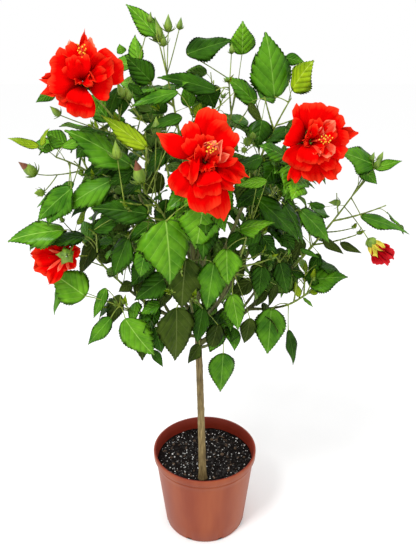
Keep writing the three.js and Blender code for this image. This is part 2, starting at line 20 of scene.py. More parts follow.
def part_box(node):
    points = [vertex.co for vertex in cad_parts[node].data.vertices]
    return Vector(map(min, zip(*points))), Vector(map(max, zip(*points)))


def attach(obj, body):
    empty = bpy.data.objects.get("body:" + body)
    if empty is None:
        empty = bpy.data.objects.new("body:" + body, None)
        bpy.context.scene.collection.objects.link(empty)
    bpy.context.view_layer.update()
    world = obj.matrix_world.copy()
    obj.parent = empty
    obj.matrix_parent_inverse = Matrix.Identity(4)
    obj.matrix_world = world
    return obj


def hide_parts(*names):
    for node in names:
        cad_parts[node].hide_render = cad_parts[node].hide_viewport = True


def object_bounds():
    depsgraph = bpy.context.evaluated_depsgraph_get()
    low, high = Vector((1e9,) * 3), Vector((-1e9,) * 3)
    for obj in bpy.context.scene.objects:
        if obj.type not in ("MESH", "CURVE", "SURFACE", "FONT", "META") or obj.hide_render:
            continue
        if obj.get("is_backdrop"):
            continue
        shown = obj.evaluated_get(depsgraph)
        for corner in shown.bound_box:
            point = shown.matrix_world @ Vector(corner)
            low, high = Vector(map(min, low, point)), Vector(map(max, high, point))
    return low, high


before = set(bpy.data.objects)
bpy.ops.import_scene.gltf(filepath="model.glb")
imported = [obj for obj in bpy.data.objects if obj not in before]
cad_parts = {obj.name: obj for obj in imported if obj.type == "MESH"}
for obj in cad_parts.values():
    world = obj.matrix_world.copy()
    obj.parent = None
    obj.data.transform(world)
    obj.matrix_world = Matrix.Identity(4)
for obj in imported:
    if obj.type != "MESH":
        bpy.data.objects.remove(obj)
TURN = 2 * math.pi  # a whole turn, in radians
packed_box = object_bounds()
print("packed box", [tuple(round(x, 3) for x in corner) for corner in packed_box])

# %% [markdown]
# ## Finishes
#
# A finish is a small network of nodes that feeds one Principled shader. Hand-made networks are
# long to write, so two helpers do the wiring: one adds a node and joins its inputs, the other
# starts a finish with its plain values. Numbers that are the same all over are set on the shader
# itself, and only what changes from place to place comes through nodes.

# %% Helpers for finishes
def srgb(red, green, blue):
    """A colour on the usual 0 to 255 scale, as the linear values that Blender works in."""
    scaled = [c / 255 for c in (red, green, blue)]
    linear = [c / 12.92 if c < 0.04045 else ((c + 0.055) / 1.055) ** 2.4 for c in scaled]
    return (*linear, 1)


def add_node(material, kind, settings=None, **inputs):
    """Adds a node. Inputs are values, or sockets of other nodes to link from.

    An input goes by its name, or by its number where several share a name, as in _2.
    """
    tree = material.node_tree
    made = tree.nodes.new(kind)
    for name, value in (settings or {}).items():
        setattr(made, name, value)
    for name, value in inputs.items():
        key = int(name[1:]) if name[1:].isdigit() else name.replace("_", " ")
        socket = made.inputs[key]
        if isinstance(value, bpy.types.NodeSocket):
            tree.links.new(value, socket)
        else:
            socket.default_value = value
    return made


def new_finish(name, colour, roughness, **more):
    """A material with one Principled shader. Returns the material and the shader."""
    material = bpy.data.materials.new(name)
    material.use_nodes = True
    shader = material.node_tree.nodes["Principled BSDF"]
    shader.inputs["Base Color"].default_value = colour
    shader.inputs["Roughness"].default_value = roughness
    for socket, value in more.items():
        shader.inputs[socket.replace("_", " ")].default_value = value
    material.diffuse_color = colour
    return material, shader


def feed(material, socket, source):
    """Links the output of a node to an input of the shader."""
    material.node_tree.links.new(source, socket)


def blotches(material, scale, detail=4.0, stretch=(1, 1, 1), roughness=0.6):
    """Noise on object coordinates, which a Mapping node stretches."""
    place = add_node(material, "ShaderNodeTexCoord").outputs["Object"]
    mapped = add_node(material, "ShaderNodeMapping", Vector=place, Scale=stretch).outputs["Vector"]
    made = add_node(
        material, "ShaderNodeTexNoise", Vector=mapped, Scale=scale, Detail=detail, Roughness=roughness
    )
    return made.outputs["Fac"]


def ramp(material, source, stops):
    """A colour for each level of a source. stops is [(level, colour), ...]."""
    made = add_node(material, "ShaderNodeValToRGB", Fac=source)
    points = made.color_ramp.elements
    while len(points) < len(stops):
        points.new(0.5)
    for point, (level, colour) in zip(points, stops):
        point.position = level
        point.color = colour
    return made.outputs["Color"]


def two_tone(material, shader, source, low, high):
    """Colours a finish in soft patches of two colours."""
    feed(material, shader.inputs["Base Color"], ramp(material, source, [(0.35, low), (0.65, high)]))


def mixed(material, amount, low, high):
    """Two colours mixed by an amount."""
    settings = {"data_type": "RGBA"}
    return add_node(material, "ShaderNodeMix", settings, _0=amount, _6=low, _7=high).outputs[2]


def bumped(material, shader, height, strength, distance):
    """Lets a height roughen the surface, through a Bump node."""
    made = add_node(
        material, "ShaderNodeBump", Height=height, Strength=strength, Distance=distance
    )
    feed(material, shader.inputs["Normal"], made.outputs["Normal"])


# %% [markdown]
# ## The growth rule
#
# The plant isn't drawn leaf by leaf. It grows: a table names the boughs and the masses of foliage,
# and a rule with a seeded stream of numbers puts twigs and leaves on each mass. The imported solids
# were grown by this same rule, so running it again with the same seeds gives twigs and leaves in
# the same places, and they can then carry more than the solids do. Lengths here are millimetres.
#
# A bough is: the limb it leaves, how far along that limb, its tip, the sag of its curve, and its
# radius at the root. A share of 1 means that it goes on from the tip of that limb.

# %% Trunk and boughs
GAP = 0.3  # clear space between a bough's tip and the stem that goes on from it
SOIL_TOP = 178
TRUNK_LINE = [(-5, -78, SOIL_TOP + GAP), (-8, -62, 420), (-18, -45, 640)]
TRUNK_RADII = (8.5, 7)
BOUGH_TAPER = 0.62

BOUGHS = {
    "leader": ("trunk", 1, (-35, -50, 880), 0, 6.5),
    "top_centre": ("leader", 0.3, (35, -40, 930), 25, 4.2),
    "top_left": ("leader", 0.12, (-90, -120, 900), 45, 4.5),
    "rear_left": ("leader", 0.2, (-75, 30, 880), 20, 3.8),
    "back_top": ("leader", 0.55, (10, 50, 950), 20, 3.8),
    "top_right": ("trunk", 0.965, (100, -50, 900), 45, 4.8),
    "right_high": ("top_right", 0.4, (120, -95, 850), 14, 3.8),
    "rear_right": ("top_right", 0.25, (125, 10, 820), 14, 3.8),
    "high_left": ("trunk", 0.97, (-140, -10, 860), 35, 4),
    "left_high": ("trunk", 0.935, (-160, -100, 850), 45, 4.8),
    "left": ("trunk", 0.84, (-150, -100, 670), 25, 5),
    "left_low": ("trunk", 0.78, (-100, -120, 610), 15, 3.8),
    "side_left": ("left", 0.4, (-125, -20, 690), 12, 3.6),
    "front": ("trunk", 0.958, (5, -165, 800), 45, 4.6),
    "front_left": ("trunk", 0.89, (-60, -150, 800), 40, 4.2),
    "front_low": ("trunk", 0.82, (-25, -165, 670), 20, 3.8),
    "front_right": ("trunk", 0.86, (50, -160, 715), 30, 4.2),
    "right_mid": ("trunk", 0.915, (85, -120, 790), 40, 4.4),
    "right": ("trunk", 0.74, (185, -65, 710), 28, 6),
    "right_low": ("right", 0.55, (160, -110, 640), 6, 3.6),
    "side_right": ("right", 0.35, (130, 10, 650), 8, 3.6),
    "low": ("trunk", 0.72, (35, -110, 570), 10, 3.4),
    "back": ("trunk", 0.92, (0, 80, 770), 40, 4.6),
    "back_left": ("trunk", 0.86, (-120, 60, 740), 35, 4.8),
    "back_right": ("trunk", 0.82, (115, 60, 730), 35, 4.8),
    "back_low": ("trunk", 0.76, (5, 65, 610), 18, 3.8),
}
print(len(BOUGHS), "boughs")

# %% [markdown]
# A mass of foliage stands on each bough. Its row says where its stem ends, the length of a full
# leaf and how much the leaves hang. Leaves that stand alone at the crown's edge are placed one by
# one, with the foot of the blade, its tip, its width and its tone. Flowers are (centre, facing,
# radius) and buds are (centre, length). A mass's seed follows from its place in the table.

# %% Masses of foliage
FIRST_SEED = 1
# A key leaf's tone is partly painted light and shade: leaves that lie in shade get the darker tones, leaves
# in full light the lighter ones.
MASSES = {
    "leader": {
        "tip": (-70, -110, 1110), "leaf": 80, "droop": 0.35,
        "key": [((-80, -120, 1150), (-125, -135, 1200), 32, "bright")],
        "buds": [((-70, -110, 1145), 24), ((-40, -100, 1170), 20)],
    },
    "top_centre": {
        "tip": (65, -60, 1075), "leaf": 78, "droop": 0.3,
        "key": [
            ((70, -60, 1120), (70, -90, 1170), 40, "bright"),
            ((-30, -95, 1120), (55, -75, 1150), 42, "deep"),
        ],
        "buds": [((50, -85, 1130), 18)],
    },
    "top_right": {
        "tip": (160, -85, 1045), "leaf": 82, "droop": 0.4,
        "key": [
            ((130, -85, 1045), (115, -95, 1155), 65, "mid"),
            ((160, -90, 1060), (185, -120, 1110), 45, "young"),
        ],
    },
    "top_left": {
        "tip": (-140, -200, 1010), "leaf": 80, "droop": 0.5,
        "bloom": ((-175, -270, 1085), (-0.35, -0.85, 0.45), 64),
        "buds": [((-235, -235, 1035), 22)],
    },
    "left_high": {
        "tip": (-260, -160, 950), "leaf": 82, "droop": 0.5,
        "key": [((-235, -190, 900), (-280, -210, 845), 50, "mid")],
        "buds": [((-305, -185, 935), 26)],
    },
    "left": {
        "tip": (-240, -150, 810), "leaf": 84, "droop": 0.6,
        "key": [((-250, -190, 825), (-350, -215, 825), 46, "bright")],
        "bloom": ((-260, -205, 770), (-0.75, -0.5, -0.35), 38),
        "buds": [((-260, -165, 840), 16)],
    },
    "left_low": {
        "tip": (-165, -155, 660), "leaf": 82, "droop": 0.8,
        "key": [
            ((-150, -190, 650), (-100, -205, 570), 50, "bright"),
            ((-225, -175, 690), (-280, -190, 745), 60, "bright"),
        ],
    },
    "front_left": {
        "tip": (-100, -235, 905), "leaf": 86, "droop": 0.7,
        "key": [((-120, -215, 945), (-215, -235, 1010), 50, "mid")],
        "buds": [((-105, -245, 940), 30)],
    },
    "front": {
        "tip": (5, -260, 905), "leaf": 84, "droop": 0.8,
        "key": [
            ((-60, -285, 870), (-50, -300, 765), 80, "bright"),
            ((0, -275, 890), (-10, -290, 820), 60, "bright"),
        ],
        "bloom": ((5, -320, 955), (0.1, -0.98, 0), 68),
    },
    "front_low": {
        "tip": (-40, -230, 760), "leaf": 88, "droop": 0.9,
        "key": [((-50, -215, 685), (-50, -225, 575), 62, "dusky")],
    },
    "front_right": {
        "tip": (75, -235, 830), "leaf": 82, "droop": 0.7,
        "key": [
            ((60, -255, 845), (115, -265, 865), 35, "bright"),
            ((40, -250, 810), (40, -260, 745), 45, "bright"),
        ],
    },
    "right": {
        "tip": (290, -115, 885), "leaf": 82, "droop": 0.6,
        "key": [
            ((290, -150, 840), (385, -170, 820), 30, "mid"),
            ((315, -120, 930), (245, -150, 960), 45, "mid"),
        ],
        "buds": [((245, -125, 860), 24), ((320, -195, 785), 52)],
    },
    "right_mid": {"tip": (160, -185, 850), "leaf": 88, "droop": 0.7},
    "right_high": {
        "tip": (170, -190, 945), "leaf": 80, "droop": 0.6,
        "bloom": ((185, -240, 980), (0.25, -0.9, 0.3), 62),
    },
    "right_low": {
        "tip": (225, -125, 695), "leaf": 80, "droop": 0.8,
        "key": [
            ((205, -120, 700), (280, -135, 720), 55, "mid"),
            ((135, -130, 645), (130, -150, 550), 56, "mid"),
        ],
    },
    "low": {
        "tip": (60, -140, 615), "leaf": 76, "droop": 0.9,
        "key": [((40, -115, 535), (35, -125, 445), 50, "mid")],
    },
    "back_left": {"tip": (-215, 150, 890), "leaf": 86, "droop": 0.5},
    "back": {"tip": (-10, 215, 910), "leaf": 86, "droop": 0.5},
    "back_right": {"tip": (225, 150, 880), "leaf": 86, "droop": 0.5},
    "back_top": {"tip": (20, 110, 1070), "leaf": 82, "droop": 0.4},
    "back_low": {"tip": (30, 160, 680), "leaf": 84, "droop": 0.8},
    "side_left": {"tip": (-235, 10, 760), "leaf": 84, "droop": 0.7},
    "side_right": {"tip": (215, 50, 660), "leaf": 84, "droop": 0.7},
    "rear_left": {"tip": (-120, 90, 1010), "leaf": 82, "droop": 0.5},
    "rear_right": {"tip": (225, 30, 940), "leaf": 82, "droop": 0.5},
    "high_left": {"tip": (-225, 20, 980), "leaf": 82, "droop": 0.5},
}
TWIGS = 2  # on each mass
LEAVES = 8  # on each mass, besides those placed by hand
print(len(MASSES), "masses of foliage")

# %% [markdown]
# Every limb is a curve with one bend: a quadratic Bezier of three points. These helpers give a
# point on it, its direction there, and the directions that leaves and twigs take from it. The
# stream is a plain congruential generator, so the same seed gives the same plant anywhere.

# %% Curves and chance
UP = np.array([0.0, 0.0, 1.0])
GOLDEN = math.radians(137.5)  # turn from one leaf or twig to the next
CHORDS = 12  # pieces that a curve is measured in
UPRIGHT = 0.15  # level part under which a direction has no side
CROWN_MIDDLE = (-15, -50)
MULTIPLIER, INCREMENT, MODULUS = 1664525, 1013904223, 2**32
STRIDE, START, WARM_UP = 7919, 17, 4


def vec(*xyz):
    return np.array(xyz, float)


def unit(a):
    return a / math.sqrt(a @ a)


def stream(seed):
    """A function that draws numbers from 0 to 1, the same ones for the same seed."""
    state = seed * STRIDE + START

    def draw():
        nonlocal state
        state = (state * MULTIPLIER + INCREMENT) % MODULUS
        return state / MODULUS

    for _ in range(WARM_UP):
        draw()
    return draw


def point(curve, t):
    """The point at share t of a curve."""
    a, b, c = curve
    return a * ((1 - t) * (1 - t)) + b * (2 * (1 - t) * t) + c * (t * t)


def heading(curve, t):
    """The direction of a curve at share t of it."""
    a, b, c = curve
    return unit((b - a) * (1 - t) + (c - b) * t)


def curve_length(curve):
    steps = [point(curve, i / CHORDS) for i in range(CHORDS + 1)]
    return sum(math.dist(p, q) for p, q in zip(steps, steps[1:]))


def spread(stem, azimuth, angle):
    """The direction that leaves a stem at an angle, turned round it by azimuth."""
    side = np.cross(stem, UP)
    side = unit(side) if side @ side > UPRIGHT**2 else vec(1, 0, 0)
    other = np.cross(side, stem)
    around = side * math.cos(azimuth) + other * math.sin(azimuth)
    return unit(stem * math.cos(angle) + around * math.sin(angle))


def outward(place):
    """Away from the crown's middle line, level."""
    return unit(vec(place[0] - CROWN_MIDDLE[0], place[1] - CROWN_MIDDLE[1], 0))


def square_to(direction, lean):
    """The part of lean that is square to direction."""
    return unit(lean - direction * (lean @ direction))


# %% [markdown]
# The limbs come first, each from a point of the limb before it. Then each mass gets its stem and
# its skeleton: the few straight pieces that its own space is measured from. A point belongs to
# the mass whose skeleton is nearest, so two masses never grow into each other.

# %% Limbs and stems
LIMB_COURSE = 0.4  # share of its length that a limb keeps its parent's course
STEM_COURSE = 0.45
STEM_TAPER = 0.95  # of the bough's radius at its tip
THINNEST_STEM = 2.7
SKELETON_STEPS = 6
BLOOM_ROOM = 0.95  # share of a flower's radius that is its own space
HALF_BLADE = 0.4  # share of a leaf's width that counts as its half width


def grow_limbs():
    """Every limb as (curve, radius at its root, radius at its tip)."""
    limbs = {"trunk": (tuple(vec(*p) for p in TRUNK_LINE), *TRUNK_RADII)}
    for name, (parent, share, tip, sag, radius) in BOUGHS.items():
        carrier = limbs[parent][0]
        tip = vec(*tip)
        start = point(carrier, share)
        bend = (start + tip) * 0.5 - UP * sag
        if share == 1:
            start = start + heading(carrier, 1) * GAP
            bend = start + heading(carrier, 1) * (math.dist(start, tip) * LIMB_COURSE)
        limbs[name] = ((start, bend, tip), radius, radius * BOUGH_TAPER)
    return limbs


def grow_stem(name, limb, order):
    """A mass: its row of the table with its seed, its stem, its skeleton and its radius."""
    mass = {"name": name, "key": [], "buds": [], "bloom": None, **MASSES[name]}
    mass["seed"] = FIRST_SEED + order
    way = heading(limb[0], 1)
    start = point(limb[0], 1) + way * GAP
    end = vec(*mass["tip"])
    stem = (start, start + way * (math.dist(start, end) * STEM_COURSE), end)
    steps = [point(stem, i / SKELETON_STEPS) for i in range(SKELETON_STEPS + 1)]
    skeleton = [(p, q, 0) for p, q in zip(steps, steps[1:])]
    if mass["bloom"]:
        centre = vec(*mass["bloom"][0])
        skeleton += [(centre, centre, mass["bloom"][2] * BLOOM_ROOM), (end, centre, 0)]
    for foot, tip, width, _ in mass["key"]:
        skeleton.append((vec(*foot), vec(*tip), width * HALF_BLADE))
    for centre, size in mass["buds"]:
        centre = vec(*centre)
        skeleton += [(centre, centre, size * 0.5), (point(stem, 0.9), centre, 0)]
    mass.update(stem=stem, skeleton=skeleton, radius=max(limb[2] * STEM_TAPER, THINNEST_STEM))
    return mass


limbs = grow_limbs()
masses = [grow_stem(name, limbs[name], order) for order, name in enumerate(MASSES)]
print("trunk", round(curve_length(limbs["trunk"][0])), "mm long")

# %% [markdown]
# ## Own space
#
# The test below takes some points and says whether all of them lie in a mass's own space and
# clear of the limbs. NumPy measures every point against every piece of skeleton at once, which
# keeps thousands of tests fast.

# %% The space test
def reach(points, starts, ends, radii):
    """Distance of each point from each round-ended bar: one row per point."""
    along = ends - starts
    square = np.maximum((along * along).sum(-1), 1e-9)
    share = np.clip(((points[:, None] - starts) * along).sum(-1) / square, 0, 1)
    apart = points[:, None] - (starts + along * share[..., None])
    return np.sqrt((apart * apart).sum(-1)) - radii


LIMB_STEPS = 8

bars = [(a, b, r, i) for i, mass in enumerate(masses) for a, b, r in mass["skeleton"]]
bar_start, bar_end, bar_radius = (np.array([bar[k] for bar in bars]) for k in range(3))
bar_owner = np.array([bar[3] for bar in bars])
limb_bars = [
    (point(curve, i / LIMB_STEPS), point(curve, (i + 1) / LIMB_STEPS), root + (end - root) * i / LIMB_STEPS)
    for curve, root, end in limbs.values()
    for i in range(LIMB_STEPS)
]
limb_start, limb_end, limb_radius = (np.array([bar[k] for bar in limb_bars]) for k in range(3))


def free(index, points, margin=3.0, keep=4.0):
    """Whether points lie in a mass's own space by a margin, and keep clear of the limbs."""
    points = np.array(points)
    apart = reach(points, bar_start, bar_end, bar_radius)
    mine = bar_owner == index
    if (apart[:, ~mine].min(1) < apart[:, mine].min(1) + margin).any():
        return False
    return bool((reach(points, limb_start, limb_end, limb_radius) > keep).all())


print(len(bars), "bars of skeleton,", len(limb_bars), "bars of limb")

# %% [markdown]
# ## Twigs and leaves
#
# A shoot sets its leaves one after another, each turned by the golden angle from the last, which
# is how a real shoot keeps its leaves out of each other's light. A leaf that would leave the
# space or sit on another leaf is turned a little further round and tried again. The oldest
# leaves, low on the shoot, are the largest.

# %% Grow twigs
FIRST_TWIG, TWIG_REACH = 0.12, 0.7  # shares of the stem
TWIG_ANGLE = math.radians(48)
TWIG_TURNS = 8  # ways round the stem that a twig is tried
LEAST_TWIG = 14
TWIG_SAG = 0.06  # share of its length
TIP_ROOM = 12


def grow_twigs(mass, index, draw, number, lift=0.25, short=1.0):
    """Twigs round a mass's stem. They are shorter toward its tip."""
    full = curve_length(mass["stem"])
    grown = []
    for j in range(number):
        t = FIRST_TWIG + TWIG_REACH * (j + 0.3 + 0.4 * draw()) / number
        start = point(mass["stem"], t)
        way = heading(mass["stem"], t)
        azimuth = j * GOLDEN + draw() * TURN
        for _ in range(TWIG_TURNS):
            direction = unit(spread(way, azimuth, TWIG_ANGLE) + UP * lift)
            size = ((0.34 + 0.3 * draw()) * full * (1 - 0.4 * t) + LEAST_TWIG) * short
            bend = start + direction * (size * 0.5) - UP * (size * TWIG_SAG)
            twig = (start, bend, start + direction * size)
            if free(index, [twig[2], twig[2] + direction * TIP_ROOM, point(twig, 0.6)]):
                grown.append(twig)
                break
            azimuth += TURN / TWIG_TURNS
    return grown


# %% Grow leaves
MIDDLE = 0.4  # share of a blade's length where it is about widest
LEAST_ANGLE, MORE_ANGLE = 52, 16  # degrees between a stalk and its shoot
OLD_TO_YOUNG = 0.42  # share of its length that the youngest leaf lacks
SMALLER = 0.78  # size of a leaf that found no room at first
TURN_ON = 0.9  # radians that a leaf without room is turned round its shoot
LAST_LEAF = 0.985  # share of the shoot


def key_leaf(mass, foot, tip, width, tone):
    """A leaf placed one by one. It hangs from the nearest point of the stem."""
    foot, tip = vec(*foot), vec(*tip)
    t = min((i / 20 for i in range(4, 20)), key=lambda t: math.dist(point(mass["stem"], t), foot))
    size = math.dist(foot, tip)
    direction = unit(tip - foot)
    return {
        "root": point(mass["stem"], t), "foot": foot, "direction": direction,
        "normal": square_to(direction, vec(0, -0.8, 0.6)), "length": size, "width": width,
        "middle": foot + direction * (size * MIDDLE), "young": 0.0, "tone": tone,
        "fine": False, "placed": True,
    }


def grow_leaf(mass, index, curve, t, azimuth, young, draw, shrink, rules):
    """A leaf at share t of a shoot, or None if it has no room there."""
    size = mass["leaf"] * (0.78 + 0.4 * draw()) * (1 - OLD_TO_YOUNG * young) * shrink
    width = size * (0.6 + 0.18 * draw())
    stalk = size * (0.3 + 0.28 * draw())
    root = point(curve, t)
    angle = math.radians(LEAST_ANGLE + MORE_ANGLE * draw())
    rise = unit(spread(heading(curve, t), azimuth, angle) + UP * 0.12)
    foot = root + rise * stalk
    out = outward(foot)
    direction = unit(rise * 0.75 + out * 0.3 - UP * (mass["droop"] * (0.5 + draw())))
    normal = square_to(direction, UP * 0.75 + out * 0.75)
    side = np.cross(direction, normal)
    middle = foot + direction * (size * MIDDLE)
    outline = [
        root + rise * (stalk * 0.6), foot, foot + direction * size, middle,
        middle + side * (width * 0.5), middle - side * (width * 0.5), foot + direction * (size * 0.75),
    ]
    if any(math.dist(middle, leaf["middle"]) <= rules["spacing"] * size for leaf in mass["leaves"]):
        return None
    if mass["bloom"]:
        centre, _, radius = mass["bloom"]
        if any(math.dist(place, centre) <= radius * BLOOM_ROOM for place in outline):
            return None
    if not free(index, outline, rules["margin"], rules["keep"]):
        return None
    return {
        "root": root, "foot": foot, "direction": direction, "normal": normal, "length": size,
        "width": width, "middle": middle, "young": young, "tone": None,
        "fine": rules["fine"], "placed": False,
    }


def grow_leaves(mass, index, draw, runs, rules):
    """Sets leaves along shoots. A run is (curve, number of leaves, where they start, youth)."""
    for curve, count, first, youth in runs:
        number = max(2, int(count + 0.5))
        phase = draw() * TURN
        for i in range(number):
            t = first + (LAST_LEAF - first) * (i + 0.6) / number
            azimuth = phase + i * GOLDEN
            for attempt in range(rules["tries"]):
                shrink = 1 if attempt < rules["tries"] / 2 else SMALLER
                leaf = grow_leaf(mass, index, curve, t, azimuth, youth * t * t, draw, shrink, rules)
                if leaf:
                    mass["leaves"].append(leaf)
                    break
                azimuth += TURN_ON


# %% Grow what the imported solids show
# Spacing is a share of a leaf's length. Margin and keep are clear room in millimetres.
PACKED = {"spacing": 0.62, "margin": 3, "keep": 4, "tries": 14, "fine": False}

for index, mass in enumerate(masses):
    mass["leaves"] = [key_leaf(mass, *row) for row in mass["key"]]
    draw = stream(mass["seed"])
    mass["twigs"] = grow_twigs(mass, index, draw, TWIGS)
    half = 0.5 if mass["twigs"] else 1
    runs = [(mass["stem"], LEAVES * half, 0.05, 1)]
    runs += [(twig, LEAVES * 0.5 / len(mass["twigs"]), 0.3, 0.7) for twig in mass["twigs"]]
    grow_leaves(mass, index, draw, runs, PACKED)
print(sum(len(mass["leaves"]) for mass in masses), "leaves on the packed solids")

# %% [markdown]
# ## Leaves placed one by one
#
# A rule gives a believable crown, but the leaves that make its outline are better placed one by
# one, as a flower arranger would, who stands where the camera stands. So these leaves are given
# by where they show in the camera's picture, in pixels, and by how deep in the crown they lie, in
# millimetres. A sight line through the pixel then gives the place. Their widths are real sizes.

# %% Sight lines
CAMERA_PLACE = vec(8, -1156, 1108)
CAMERA_TILT = math.radians(20.6)  # how far the camera looks down
PICTURE = (416, 544)  # pixels
FOCAL = 560  # the lens's focal length, in pixels of that picture


def place_at(pixel, depth):
    """The place that shows at a pixel and lies at y = depth."""
    across = (pixel[0] - PICTURE[0] / 2) / FOCAL
    rise = (PICTURE[1] / 2 - pixel[1]) / FOCAL
    cosine, sine = math.cos(CAMERA_TILT), math.sin(CAMERA_TILT)
    sight = vec(across, cosine + rise * sine, rise * cosine - sine)
    return CAMERA_PLACE + sight * ((depth - CAMERA_PLACE[1]) / sight[1])
